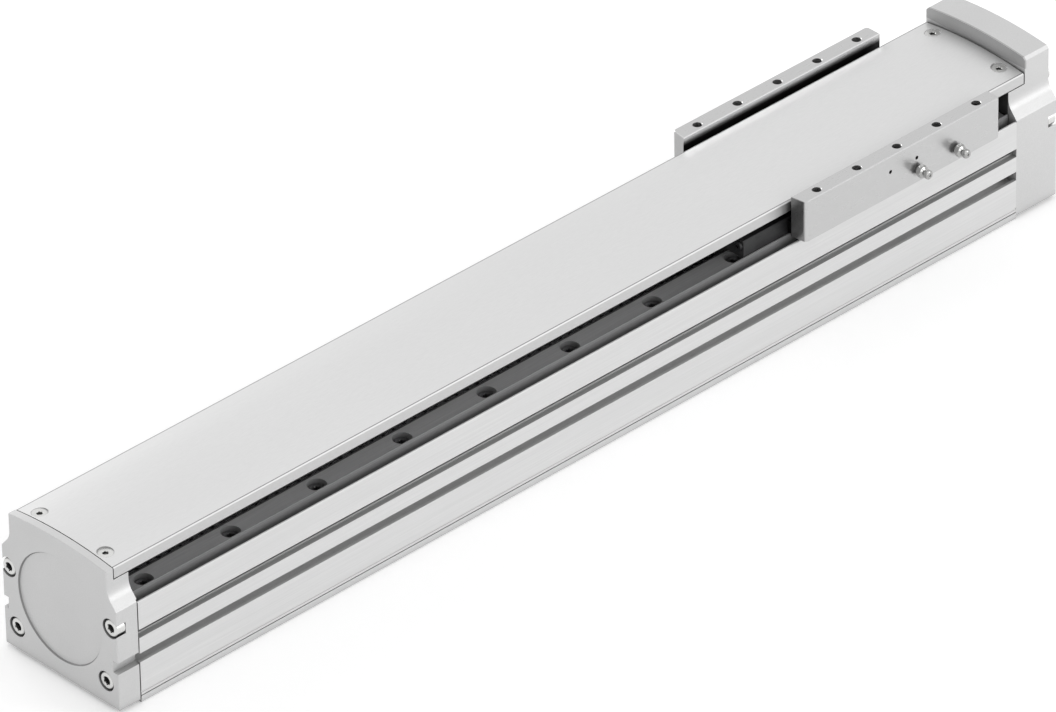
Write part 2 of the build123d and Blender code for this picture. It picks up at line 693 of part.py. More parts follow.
# Grease nipples: hexagon, neck and rounded head, screwed into the right wing
with BuildPart() as grease_nipple:
    with BuildSketch():
        RegularPolygon(nipple_hex / 2, 6, major_radius=False)
    extrude(amount=nipple_hex_length)
    with BuildSketch(Plane.XZ):
        with BuildLine():
            Polyline(
                (0, -nipple_stem), (m6_radius, -nipple_stem), (m6_radius, 0.1), (3.4, 0.1),
                (3.4, nipple_hex_length), (3.0, nipple_hex_length + 0.8), (2.1, nipple_hex_length + 2.6),
                (2.1, nipple_hex_length + 4.0), (3.2, nipple_hex_length + 5.4),
                (3.2, nipple_hex_length + 6.4), (1.3, nipple_length), (0, nipple_length), close=True,
            )
        make_face()
    revolve(axis=Axis.Z)
nipple_seats = [Location((slide_middle + x, nipple_side, nipple_height), (90, 0, 0)) for x in nipple_places]
save(placed(grease_nipple.part, nipple_seats), "grease_nipples")


def carriage_section(s):
    """Section of a ball carriage: a bar over the rail and a leg along its inner face."""
    with BuildSketch() as section:
        with BuildLine():
            Polyline(
                (s * carriage_leg_inner, carriage_leg_bottom),
                (s * carriage_leg_outer, carriage_leg_bottom),
                (s * carriage_leg_outer, carriage_bottom), (s * carriage_outer, carriage_bottom),
                (s * carriage_outer, plate_bottom - carriage_bevel),
                (s * (carriage_outer - carriage_bevel), plate_bottom),
                (s * (carriage_leg_inner + carriage_bevel), plate_bottom),
                (s * carriage_leg_inner, plate_bottom - carriage_bevel), close=True,
            )
        make_face()
        with Locations(*raceways(s)):
            Circle(raceway_radius, mode=Mode.SUBTRACT)
    return section.sketch


# Ball carriages: steel blocks with a plastic return cap and a wiper at each end
screw_seat = plate_top - m5_head_height - m5_head_recess
block_length = carriage_length - 2 * carriage_cap_length - 2 * wiper_thickness
carriage_hole_depth = carriage_screw_length - (screw_seat - plate_bottom) + thread_spare
for place, middle in carriage_middles.items():
    for name, s in sides.items():
        with BuildPart() as carriage:
            with BuildSketch(Plane.YZ.offset(middle - block_length / 2)):
                add(carriage_section(s))
            extrude(amount=block_length)
            with Locations(*[(middle + dx, s * carriage_screw_y, plate_bottom)
                             for dx in (-carriage_screw_spacing / 2, carriage_screw_spacing / 2)]):
                Hole(m5_hole_radius, depth=carriage_hole_depth)
        save(carriage, f"carriage_{place}_{name}")
        with BuildPart() as carriage_caps:
            for start in (middle - carriage_length / 2 + wiper_thickness, middle + block_length / 2):
                with BuildSketch(Plane.YZ.offset(start)):
                    add(carriage_section(s))
                extrude(amount=carriage_cap_length)
        save(carriage_caps, f"carriage_caps_{place}_{name}")

with BuildPart() as carriage_wipers:
    for middle in carriage_middles.values():
        for s in sides.values():
            for start in (middle - carriage_length / 2, middle + carriage_length / 2 - wiper_thickness):
                with BuildSketch(Plane.YZ.offset(start)):
                    add(carriage_section(s))
                extrude(amount=wiper_thickness)
save(carriage_wipers, "carriage_wipers")

# Lubrication ports on the outer ends of the front carriages
with BuildPart() as lube_port:
    Cylinder(lube_port_radius, lube_port_length, align=(Align.CENTER, Align.CENTER, Align.MIN))
    fillet(lube_port.edges().group_by(Axis.Z)[-1], radius=0.8)
    with Locations((0, 0, lube_port_length)):
        Hole(lube_port_hole, depth=lube_port_length / 2)
port_y = carriage_outer - lube_port_inset
port_z = plate_bottom - lube_port_drop
port_seats = [Location((plate_front + carriage_inset, s * port_y, port_z), (0, -90, 0))
              for s in sides.values()]
save(placed(lube_port.part, port_seats), "lube_ports")

with BuildPart() as ball_rows:
    for middle in carriage_middles.values():
        for s in sides.values():
            with BuildSketch(Plane.YZ.offset(middle - block_length / 2)):
                with Locations(*raceways(s)):
                    Circle(ball_row_radius)
            extrude(amount=block_length)
save(ball_rows, "ball_rows")

m5_screw = socket_screw(m5_radius, carriage_screw_length, m5_head_radius, m5_head_height, m5_socket)
save(placed(m5_screw, [Location((x, y, screw_seat)) for x, y in carriage_screw_places]), "carriage_screws")

# Nut bracket: hangs from the plate, round at the bottom, bored for the nut
with BuildPart() as nut_bracket:
    with BuildSketch(Plane.YZ.offset(bracket_front)):
        with Locations((0, (screw_height + plate_bottom) / 2)):
            Rectangle(2 * bracket_half, plate_bottom - screw_height)
        with Locations((0, screw_height)):
            Circle(bracket_half)
            Circle(nut_radius + bearing_seat_gap, mode=Mode.SUBTRACT)
    extrude(amount=bracket_length)
    with Locations(*[(x, y, plate_bottom) for x, y in bracket_screw_places]):
        Hole(m5_hole_radius, depth=bracket_screw_length)
    bracket_face = Plane(origin=(bracket_front, 0, screw_height), x_dir=(0, -1, 0), z_dir=(-1, 0, 0))
    with Locations(bracket_face):
        with PolarLocations(nut_screw_circle, 4, start_angle=45):
            Hole(m4_hole_radius, depth=nut_screw_length)
save(nut_bracket, "nut_bracket")
long_m5_screw = socket_screw(m5_radius, bracket_screw_length, m5_head_radius, m5_head_height, m5_socket)
bracket_screw_seats = [Location((x, y, screw_seat)) for x, y in bracket_screw_places]
save(placed(long_m5_screw, bracket_screw_seats), "bracket_screws")

# Ball nut: flange against the bracket, body in its bore
flange_start = bracket_front - nut_flange_thickness
with BuildPart() as ball_nut:
    with BuildSketch(Plane.YZ.offset(flange_start)):
        with Locations((0, screw_height)):
            Circle(nut_radius + nut_flange_reach)
            Rectangle(2 * (nut_radius + nut_flange_flat), 2 * (nut_radius + nut_flange_reach),
                      mode=Mode.INTERSECT)
    extrude(amount=nut_flange_thickness)
    add(ring(bracket_front, nut_length, 0, nut_radius).part)
    with Locations(bracket_face.offset(nut_flange_thickness)):
        with PolarLocations(nut_screw_circle, 4, start_angle=45):
            Hole(m4_through_radius, depth=nut_flange_thickness)
    add(ring(flange_start - 1, nut_length + nut_flange_thickness + 2, 0,
             screw_radius + screw_running_gap).part, mode=Mode.SUBTRACT)
save(ball_nut, "ball_nut")
m4_screw = socket_screw(m4_radius, nut_screw_length, m4_head_radius, m4_head_height, m4_socket)
nut_screw_seats = [
    Location((flange_start, nut_screw_circle * cos((i + 0.5) * pi / 2),
              screw_height + nut_screw_circle * sin((i + 0.5) * pi / 2)), (0, -90, 0))
    for i in range(4)
]
save(placed(m4_screw, nut_screw_seats), "nut_screws")

# Spindle: threaded length, idle journal, seal and bearing journals, drive shaft
thread_start = idle_end + idle_collar_length
thread_end = drive_end + thread_run_out
collar_radius = idle_bearing[0] + idle_collar_step
spindle_idle_tip = idle_bearing_start - idle_journal_end
ring_start = idle_bearing_start - retaining_ring[2] - 0.1
shaft_start = drive_face - drive_seat_depth + 2 * drive_bearing[2] + locknut_width
spindle = turned(
    (spindle_idle_tip, 0), (spindle_idle_tip, idle_bearing[0]), (ring_start, idle_bearing[0]),
    (ring_start, ring_groove_radius), (idle_bearing_start, ring_groove_radius),
    (idle_bearing_start, idle_bearing[0]), (idle_end, idle_bearing[0]),
    (idle_end, collar_radius), (thread_start, collar_radius),
    (thread_start, screw_radius - thread_bevel), (thread_start + thread_bevel, screw_radius),
    (thread_end - thread_bevel, screw_radius), (thread_end, screw_radius - thread_bevel),
    (thread_end, seal_journal_radius),
    (bearing_start, seal_journal_radius), (bearing_start, drive_bearing[0]),
    (shaft_start, drive_bearing[0]), (shaft_start, shaft_radius),
    (drive_face + shaft_reach - thread_bevel, shaft_radius),
    (drive_face + shaft_reach, shaft_radius - thread_bevel),
    (drive_face + shaft_reach, 0),
)
save(spindle, "spindle")


def bearing(start, size, name):
    """A shielded ball bearing as two rings that turn in each other."""
    bore, outer, width = size
    wall = ring_share * (outer - bore)
    gap = bore + wall + shield_gap
    inside = start + shield_thickness, start + width - shield_thickness
    inner_ring = ring(start, width, bore, bore + wall)
    outer_ring = turned(
        (start, outer), (start, gap), (inside[0], gap), (inside[0], outer - wall),
        (inside[1], outer - wall), (inside[1], gap), (start + width, gap), (start + width, outer),
    )
    save(inner_ring, f"{name}_inner_ring")
    save(outer_ring, f"{name}_outer_ring")


bearing(idle_bearing_start, idle_bearing, "idle_bearing")
bearing(bearing_start, drive_bearing, "drive_bearing_front")
bearing(bearing_start + drive_bearing[2], drive_bearing, "drive_bearing_rear")
save(ring(ring_start, retaining_ring[2], retaining_ring[0], retaining_ring[1]), "retaining_ring")
seal_bore = seal_journal_radius + shield_gap
save(ring(bearing_start - seal_width, seal_width, seal_bore, seal_radius), "shaft_seal")

# Locknut that clamps the inner rings, with four slots for a hook wrench
locknut_start = bearing_start + 2 * drive_bearing[2]
with BuildPart() as locknut:
    add(ring(locknut_start, locknut_width, drive_bearing[0], locknut_radius).part)
    with Locations(Plane.YZ.offset(locknut_start)):
        with Locations((0, screw_height)):
            with PolarLocations(locknut_radius, 4):
                Box(locknut_slot, locknut_slot, 2 * locknut_width, mode=Mode.SUBTRACT)
save(locknut, "locknut")

# Bearing cover: spigot against the outer rings, flange on the drive face
with BuildPart() as bearing_cover:
    add(turned(
        (locknut_start, bearing_cover_bore), (locknut_start, drive_bearing[1] - bearing_seat_gap),
        (drive_face, drive_bearing[1] - bearing_seat_gap), (drive_face, bearing_cover_radius),
        (drive_face + bearing_cover_thickness, bearing_cover_radius),
        (drive_face + bearing_cover_thickness, bearing_cover_bore),
    ).part)
    with Locations(Plane.YZ.offset(drive_face + bearing_cover_thickness)):
        with Locations((0, screw_height)):
            with PolarLocations(bearing_cover_screw_circle, 4):
                Hole(m4_through_radius, depth=bearing_cover_thickness)
save(bearing_cover, "bearing_cover")
cover_m4 = socket_screw(m4_radius, bearing_cover_screw_length, m4_head_radius, m4_head_height, m4_socket)
cover_m4_seats = [
    Location((drive_face + bearing_cover_thickness, bearing_cover_screw_circle * cos(i * pi / 2),
              screw_height + bearing_cover_screw_circle * sin(i * pi / 2)), (0, 90, 0))
    for i in range(4)
]
save(placed(cover_m4, cover_m4_seats), "bearing_cover_screws")

# Rubber buffers in the two ends, met by the plate of the slide
with BuildPart() as idle_buffer:
    with BuildSketch(Plane.YZ.offset(idle_end - buffer_pocket)):
        with Locations((0, buffer_height)):
            Circle(buffer_radius)
    extrude(amount=idle_buffer_face - idle_end + buffer_pocket)
    chamfer(idle_buffer.edges().group_by(Axis.X)[-1], length=buffer_bevel)
save(idle_buffer, "idle_buffer")
with BuildPart() as drive_buffer:
    with BuildSketch(Plane.YZ.offset(drive_buffer_face)):
        with Locations((0, buffer_height)):
            Circle(buffer_radius)
    extrude(amount=drive_end + buffer_pocket - drive_buffer_face)
    chamfer(drive_buffer.edges().group_by(Axis.X)[0], length=buffer_bevel)
save(drive_buffer, "drive_buffer")
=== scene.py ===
# %% [markdown]
# # Dressing a ball screw linear axis
# The CAD model holds every rigid piece of the axis at its real size and place. This lesson
# loads it as a fixed frame, photographs it from the studio's viewpoint, gives each metal,
# plastic and rubber piece its own finish, and builds with numpy the small round pieces that
# the plain CAD solids only stand in for: screws, grease nipples, balls and the screw thread.

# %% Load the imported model
import json
import math

import bmesh
import bpy
import numpy as np
from mathutils import Matrix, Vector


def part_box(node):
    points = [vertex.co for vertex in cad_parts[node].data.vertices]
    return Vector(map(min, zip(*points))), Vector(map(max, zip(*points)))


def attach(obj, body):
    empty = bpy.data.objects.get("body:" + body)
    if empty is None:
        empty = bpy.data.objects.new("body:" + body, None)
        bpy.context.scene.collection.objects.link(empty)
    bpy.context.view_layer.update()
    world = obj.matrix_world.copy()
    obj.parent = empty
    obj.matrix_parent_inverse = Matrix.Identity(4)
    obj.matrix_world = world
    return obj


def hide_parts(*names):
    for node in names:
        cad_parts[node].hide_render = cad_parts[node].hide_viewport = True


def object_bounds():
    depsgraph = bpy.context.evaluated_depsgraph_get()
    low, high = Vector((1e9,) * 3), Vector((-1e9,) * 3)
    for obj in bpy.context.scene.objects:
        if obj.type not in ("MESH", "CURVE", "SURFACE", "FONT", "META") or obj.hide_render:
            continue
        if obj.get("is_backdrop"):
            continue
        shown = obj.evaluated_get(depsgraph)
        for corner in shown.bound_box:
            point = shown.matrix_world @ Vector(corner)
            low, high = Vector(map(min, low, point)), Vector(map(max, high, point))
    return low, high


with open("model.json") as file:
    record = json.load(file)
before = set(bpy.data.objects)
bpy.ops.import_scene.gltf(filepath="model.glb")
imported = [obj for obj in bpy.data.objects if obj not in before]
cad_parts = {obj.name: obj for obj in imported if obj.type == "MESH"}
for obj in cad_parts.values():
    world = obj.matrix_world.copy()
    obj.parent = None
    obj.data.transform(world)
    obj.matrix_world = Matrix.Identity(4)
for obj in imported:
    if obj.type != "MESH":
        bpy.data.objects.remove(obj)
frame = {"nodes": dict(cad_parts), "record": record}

MM = 0.001
cad_box = [list(corner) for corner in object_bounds()]
nodes = frame["nodes"]
print(f"{len(nodes)} CAD nodes, box {np.round(np.ptp(cad_box, axis=0) / MM, 1)} mm")

# %% [markdown]
# ## The camera
# A product picture of a long axis is taken from far away with a long lens, so that its edges
# stay nearly parallel. The viewpoint was found by matching corners of the axis with the
# photograph: three angles, the lens, and where the middle of the picture falls. The three
# angles give the camera's own right, up and back directions, and those are the columns of
# its matrix.

# %% Place the camera
PICTURE_WIDTH = 1056                      # pixels
SENSOR_WIDTH = 36.0                       # millimetres
FOCAL_LENGTH_PIXELS = 11639
azimuth, elevation, roll = np.radians([-43.138, 33.744, -1.056])
AIM_POINT = np.array([-0.4443, 0.0, 0.0027])  # just above the foot of the idle end
RIGHT_OFFSET, UP_OFFSET, BACK_OFFSET = 0.3166, 0.2180, 7.914

level_right = np.array([math.cos(azimuth), math.sin(azimuth), 0.0])
back = np.array([
    math.sin(azimuth) * math.cos(elevation),
    -math.cos(azimuth) * math.cos(elevation),
    math.sin(elevation),
])
level_up = np.cross(back, level_right)
right = math.cos(roll) * level_right + math.sin(roll) * level_up
up = math.cos(roll) * level_up - math.sin(roll) * level_right
camera_place = AIM_POINT + RIGHT_OFFSET * right + UP_OFFSET * up + BACK_OFFSET * back

camera_data = bpy.data.cameras.new("studio_camera")
camera_data.sensor_width = SENSOR_WIDTH
camera_data.lens = FOCAL_LENGTH_PIXELS * SENSOR_WIDTH / PICTURE_WIDTH
camera_data.clip_start, camera_data.clip_end = 0.5, 60.0
camera = bpy.data.objects.new("studio_camera", camera_data)
camera_matrix = np.eye(4)
camera_matrix[:3] = np.column_stack([right, up, back, camera_place])
camera.matrix_world = Matrix(camera_matrix.tolist())
bpy.context.scene.collection.objects.link(camera)
bpy.context.scene.camera = camera
bpy.context.scene.view_settings.view_transform = "Standard"
print(f"lens {camera_data.lens:.0f} mm, {BACK_OFFSET:.1f} m from the axis")

# %% [markdown]
# ## Tent and table
# The axis lies on a white table in a white tent. Bare metal shows what surrounds it, so the
# tent matters as much as the lamps: rays from the camera, mirror rays and rays through glass
# see plain white, while the light that falls on the part comes from a dimmer world and from
# the lamps. One grey world for both would be simpler, but then the metal would mirror grey.

# %% Hang the tent
WORLD_LIGHT = 0.67
SEEN_LIGHT = 1.0
WHITE = (1.0, 1.0, 1.0, 1.0)


def add_path_test(tree):
    """Returns a socket that is 1 for camera, glossy and transmission rays and 0 for the rest."""
    path = tree.nodes.new("ShaderNodeLightPath")
    total = path.outputs["Is Camera Ray"]
    for ray in ("Is Glossy Ray", "Is Transmission Ray"):
        either = tree.nodes.new("ShaderNodeMath")
        either.operation = "MAXIMUM"
        tree.links.new(total, either.inputs[0])
        tree.links.new(path.outputs[ray], either.inputs[1])
        total = either.outputs[0]
    return total


world = bpy.data.worlds.new("white_tent")
world.use_nodes = True
bpy.context.scene.world = world
tent = world.node_tree
tent.nodes.clear()
seen_light = tent.nodes.new("ShaderNodeBackground")
falling_light = tent.nodes.new("ShaderNodeBackground")
for background, strength in ((seen_light, SEEN_LIGHT), (falling_light, WORLD_LIGHT)):
    background.inputs["Color"].default_value = WHITE
    background.inputs["Strength"].default_value = strength
tent_mix = tent.nodes.new("ShaderNodeMixShader")
tent_out = tent.nodes.new("ShaderNodeOutputWorld")
tent.links.new(add_path_test(tent), tent_mix.inputs["Fac"])
tent.links.new(falling_light.outputs[0], tent_mix.inputs[1])
tent.links.new(seen_light.outputs[0], tent_mix.inputs[2])
tent.links.new(tent_mix.outputs[0], tent_out.inputs["Surface"])
print(f"the tent looks {SEEN_LIGHT} bright and lights the part at {WORLD_LIGHT}")

# %% [markdown]
# The table is one large quad. It adds a little glow of its own for the same rays, which takes
# it to white away from the part and leaves the soft shadow where the axis stands.

# %% Lay the table
FLOOR_HALF = 14.0                         # metres
FLOOR_COLOUR = (0.90, 0.90, 0.90, 1.0)
FLOOR_GLOW = 0.27

floor_finish = bpy.data.materials.new("white_table")
floor_finish.use_nodes = True
table_tree = floor_finish.node_tree
table_tree.nodes.clear()
table_paint = table_tree.nodes.new("ShaderNodeBsdfDiffuse")
table_paint.inputs["Color"].default_value = FLOOR_COLOUR
table_glow = table_tree.nodes.new("ShaderNodeEmission")
table_glow.inputs["Strength"].default_value = FLOOR_GLOW
table_sum = table_tree.nodes.new("ShaderNodeAddShader")
table_choice = table_tree.nodes.new("ShaderNodeMixShader")
table_out = table_tree.nodes.new("ShaderNodeOutputMaterial")
table_tree.links.new(table_paint.outputs[0], table_sum.inputs[0])
table_tree.links.new(table_glow.outputs[0], table_sum.inputs[1])
table_tree.links.new(add_path_test(table_tree), table_choice.inputs["Fac"])
table_tree.links.new(table_paint.outputs[0], table_choice.inputs[1])
table_tree.links.new(table_sum.outputs[0], table_choice.inputs[2])
table_tree.links.new(table_choice.outputs[0], table_out.inputs["Surface"])

floor_corners = FLOOR_HALF * np.array([(-1, -1, 0), (1, -1, 0), (1, 1, 0), (-1, 1, 0)])
floor_mesh = bpy.data.meshes.new("floor")
floor_mesh.from_pydata(floor_corners.tolist(), [], [(0, 1, 2, 3)])
floor_mesh.materials.append(floor_finish)
floor = bpy.data.objects.new("floor", floor_mesh)
bpy.context.scene.collection.objects.link(floor)
floor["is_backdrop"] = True
print(f"table {2 * FLOOR_HALF:.0f} m wide, glow {FLOOR_GLOW}")

# %% [markdown]
# ## Lamps
# Five soft panels stand round the part. The rear one and the right one do most: they set the
# long side of the profile and the rounded edges off from the cover. A panel gives soft shadow
# edges, as a small lamp would not, and each is turned to its target by building the three
# directions of its matrix.

# %% Set up the softboxes
SOFTBOXES = {                # place, target, width and height in metres, then watts
    "overhead_softbox": ((0.2, 0.2, 2.9), (0, 0, 0), (2.0, 2.0), 7),
    "side_softbox": ((-0.4, -3.2, 1.0), (0, 0, 0), (2.0, 1.2), 13),
    "right_softbox": ((1.8, -2.6, 1.2), (0.2, 0, 0), (1.2, 1.2), 23),
    "rear_softbox": ((0.2, 3.0, 1.0), (0, 0, 0), (2.0, 1.0), 28),
    "end_softbox": ((-3.2, -0.6, 1.4), (-0.3, 0, 0), (1.6, 1.6), 1.5),
}


def add_softbox(name, place, target, size, watts):
    """A rectangular area lamp at place that looks at target."""
    data = bpy.data.lights.new(name, "AREA")
    data.shape = "RECTANGLE"
    data.size, data.size_y = size
    data.energy = watts
    lamp = bpy.data.objects.new(name, data)
    away = np.array(place, float) - np.array(target, float)
    away /= np.linalg.norm(away)
    side = np.cross((0.0, 0.0, 1.0), away)
    side /= np.linalg.norm(side)
    matrix = np.eye(4)
    matrix[:3] = np.column_stack([side, np.cross(away, side), away, place])
    lamp.matrix_world = Matrix(matrix.tolist())
    bpy.context.scene.collection.objects.link(lamp)


for name, softbox in SOFTBOXES.items():
    add_softbox(name, *softbox)
total_watts = sum(softbox[-1] for softbox in SOFTBOXES.values())
print(f"{len(SOFTBOXES)} softboxes with {total_watts} W in all")

# %% [markdown]
# ## Finishes
# Every finish starts as one Principled shader and reads Object coordinates, so a pattern
# stays fixed to the metal wherever the piece travels. Drawn and ground metal gets streaks:
# a noise that is squeezed across the working direction and stretched along it. Blasted and
# cast metal gets the same noise unstretched. These are the small tools that build it.

# %% Tools for a finish
NOISE_LOW, NOISE_HIGH = 0.3, 0.7


def new_finish(name, metallic, roughness):
    """An empty Principled material, with constants set on the shader's own sockets."""
    finish = bpy.data.materials.new(name)
    finish.use_nodes = True
    shader = finish.node_tree.nodes["Principled BSDF"]
    shader.inputs["Metallic"].default_value = metallic
    shader.inputs["Roughness"].default_value = roughness
    return finish, finish.node_tree, shader


def add_noise(tree, periods, detail=3.0, roughness=0.55):
    """Noise on Object coordinates whose blobs measure periods, three lengths in millimetres."""
    place = tree.nodes.new("ShaderNodeTexCoord")
    squeeze = tree.nodes.new("ShaderNodeMapping")
    squeeze.inputs["Scale"].default_value = [1.0 / (MM * period) for period in periods]
    noise = tree.nodes.new("ShaderNodeTexNoise")
    noise.inputs["Scale"].default_value = 1.0
    noise.inputs["Detail"].default_value = detail
    noise.inputs["Roughness"].default_value = roughness
    tree.links.new(place.outputs["Object"], squeeze.inputs["Vector"])
    tree.links.new(squeeze.outputs["Vector"], noise.inputs["Vector"])
    return noise.outputs["Fac"]


def remap(tree, socket, low, high, start=NOISE_LOW, end=NOISE_HIGH):
    """Takes a number from the range start to end, a noise's usual one, to the range low to high,
    and holds it there outside."""
    change = tree.nodes.new("ShaderNodeMapRange")
    for name, value in (("From Min", start), ("From Max", end), ("To Min", low), ("To Max", high)):
        change.inputs[name].default_value = value
    tree.links.new(socket, change.inputs["Value"])
    return change.outputs["Result"]


def blend_colours(tree, share, dark, light):
    """A colour between two shades of the same metal."""
    mix = tree.nodes.new("ShaderNodeMix")
    mix.data_type = "RGBA"
    mix.inputs["A"].default_value = (*dark, 1)
    mix.inputs["B"].default_value = (*light, 1)
    tree.links.new(share, mix.inputs["Factor"])
    return mix.outputs["Result"]


def multiply(tree, first, second):
    """The product of two number sockets."""
    product = tree.nodes.new("ShaderNodeMath")
    product.operation = "MULTIPLY"
    tree.links.new(first, product.inputs[0])
    tree.links.new(second, product.inputs[1])
    return product.outputs[0]


def scale_colour(tree, colour, amount):
    """A colour times a number."""
    scaled = tree.nodes.new("ShaderNodeVectorMath")
    scaled.operation = "SCALE"
    tree.links.new(colour, scaled.inputs[0])
    tree.links.new(amount, scaled.inputs["Scale"])
    return scaled.outputs["Vector"]


def add_bump(tree, shader, socket, height, strength=0.5):
    """A bump of the given height in millimetres."""
    bump = tree.nodes.new("ShaderNodeBump")
    bump.inputs["Strength"].default_value = strength
    bump.inputs["Distance"].default_value = height * MM
    tree.links.new(socket, bump.inputs["Height"])
    tree.links.new(bump.outputs["Normal"], shader.inputs["Normal"])


print(f"a noise mostly lies between {NOISE_LOW} and {NOISE_HIGH}")

# %% [markdown]
# ## Painted shade in crevices
# In corners, slots and small holes the colour is darkened, to paint the shade that falls
# there. The Ambient Occlusion node measures how close other surfaces stand round a point, and
# the colour is multiplied by what it finds. It could be painted on by hand, but this finds
# every corner of 44 pieces by itself.

# %% A finish from streaks or grain
CREVICE_SAMPLES = 8
CLOSED_IN, OPEN = 0.1, 0.85       # openness below and above which nothing changes any more
FINE_LEAST, SLOW_LEAST = 0.35, 0.6     # share of the light colour that the noises leave at least


def crevice_painted_shade(tree, darkest, reach):
    """Painted shade: 1 in the open, falling to darkest where surfaces within reach, in
    millimetres, close in.
    """
    openness = tree.nodes.new("ShaderNodeAmbientOcclusion")
    openness.samples = CREVICE_SAMPLES
    openness.inputs["Distance"].default_value = reach * MM
    return remap(tree, openness.outputs["AO"], darkest, 1, CLOSED_IN, OPEN)


def worked_metal(name, dark, light, metallic, roughness, periods, broad, bump,
                 shade=None, crevice=0.25, reach=12.0):
    """Metal with fine streaks or grain of the given periods and a broad, slow mottling. The
    streaks push colour, roughness and bump together, as one scratch does. The colour gets
    painted shade in crevices, down to crevice where surfaces within reach close in. Where a
    painted shade is given, it says for each point how much of the colour is left."""
    finish, tree, shader = new_finish(name, metallic, roughness[0])
    fine = add_noise(tree, periods)
    slow = add_noise(tree, broad, detail=2.0)
    share = multiply(tree, remap(tree, fine, FINE_LEAST, 1), remap(tree, slow, SLOW_LEAST, 1))
    colour = blend_colours(tree, share, dark, light)
    # painted shade: the colour darkens where other surfaces close in
    colour = scale_colour(tree, colour, crevice_painted_shade(tree, crevice, reach))
    # painted shade and painted light by the place on the piece
    if shade:
        colour = scale_colour(tree, colour, shade(tree))
    tree.links.new(colour, shader.inputs["Base Color"])
    tree.links.new(remap(tree, fine, roughness[1], roughness[0]), shader.inputs["Roughness"])
    add_bump(tree, shader, fine, bump)
    return finish


print(f"crevices are looked for with {CREVICE_SAMPLES} samples a point")

# %% [markdown]
# ## Faces with painted shade and light
# Some faces get painted shade, darker than the rest of their piece: the inside of the channel,
# the sides of the rails, the end faces of the wings; the inner faces of the wings also get
# painted light. A second material would need its own faces, and the CAD meshes stay as they
# are. So a painted shade is a number for each point of the metal, worked out from its Object
# coordinates, and the colour is multiplied by it. It is fixed to the place on the piece, so
# it is the same from every side and at every pose.

# %% Tools for a shade
SOFT_EDGE = 0.1


def place_parts(tree):
    """The X, Y and Z sockets of the Object coordinates."""
    place = tree.nodes.new("ShaderNodeTexCoord")
    split = tree.nodes.new("ShaderNodeSeparateXYZ")
    tree.links.new(place.outputs["Object"], split.inputs[0])
    return split.outputs["X"], split.outputs["Y"], split.outputs["Z"]


def between(tree, socket, low, high, soft=SOFT_EDGE * MM):
    """1 from low to high, 0 outside, with a soft edge."""
    above = remap(tree, socket, 0, 1, low - soft, low)
    below = remap(tree, socket, 1, 0, high, high + soft)
    return multiply(tree, above, below)


def from_middle(tree, y):
    """Distance from the middle plane of the axis."""
    distance = tree.nodes.new("ShaderNodeMath")
    distance.operation = "ABSOLUTE"
    tree.links.new(y, distance.inputs[0])
    return distance.outputs[0]


def shade_where(tree, mask, shade):
    """The shade where the mask is 1, and 1 where it is 0."""
    return remap(tree, mask, 1, shade, 0, 1)


print(f"shades end within {SOFT_EDGE} mm")

# %% [markdown]
# The channel lies between the thin walls, under the cover, and gets painted shade. The top of
# a rail is ground; its sides and the lip at its outer edge get painted shade, and so do its
# inner edge, which lies in the channel, and the stretch of the thread in the channel.

# %% Shade the channel, the rails and the thread
WALL_INSIDE = 56.2              # inner face of the profile's thin walls, from the middle
CHANNEL_FLOOR = 60.0
# painted shade: the share of the colour left in the channel, on the rails' sides and on the thread
CHANNEL_SHADE, RAIL_SIDE_SHADE, THREAD_SHADE = 0.15, 0.85, 0.3
RAIL_LIP = 2.0                  # height of the lip at the outer edge of a rail
RAIL_TOP_BAND = 0.2             # above and below the ground top
RAIL_INNER_EDGE = 32.4          # below the cover the rails are dark up to here
RAIL_EDGE_FADE = 0.3


def channel_shade(tree):
    """CHANNEL_SHADE inside the long channel, where no lamp reaches, 1 outside."""
    _, y, z = place_parts(tree)
    inside = between(tree, y, -WALL_INSIDE * MM, WALL_INSIDE * MM)
    below = between(tree, z, CHANNEL_FLOOR * MM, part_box("cover_plate")[1].z)
    return shade_where(tree, multiply(tree, inside, below), CHANNEL_SHADE)


def rail_shade(tree):
    """Painted shade: 1 on the ground top of the rails, RAIL_SIDE_SHADE below it and on the lip at
    its edge, and CHANNEL_SHADE on the inner edge, which lies in the dark channel."""
    _, y, z = place_parts(tree)
    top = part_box("guide_rail_left")[1].z - RAIL_LIP * MM
    on_top = between(tree, z, top - RAIL_TOP_BAND * MM, top + RAIL_TOP_BAND * MM)
    edge = RAIL_INNER_EDGE * MM
    outside = remap(tree, from_middle(tree, y), CHANNEL_SHADE, 1, edge - RAIL_EDGE_FADE * MM, edge)
    return multiply(tree, remap(tree, on_top, RAIL_SIDE_SHADE, 1, 0, 1), outside)


def thread_shade(tree):
    """Painted shade, THREAD_SHADE, on the stretch of the spindle in the channel, 1 beyond it."""
    low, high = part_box("body_profile")
    return shade_where(tree, between(tree, place_parts(tree)[0], low.x, high.x), THREAD_SHADE)


print(f"in the channel {CHANNEL_SHADE:.0%} of the colour is left, on the thread {THREAD_SHADE:.0%}")

# %% [markdown]
# A thin dark line of painted shade, less than a millimetre wide, runs along the bevel of the
# cover's edge, and the cover's side gets painted shade, a little darker than its top.

# %% Shade the cover
# painted shade on the cover's side and a painted dark line along its bevel
COVER_SIDE_SHADE, CREASE_SHADE = 0.82, 0.4
COVER_BEVEL, CREASE_GAP, CREASE_WIDTH = 0.8, 0.1, 0.7
COVER_SIDE_FADE = (0.15, 0.02)  # the side's shade starts and is full this far inside it


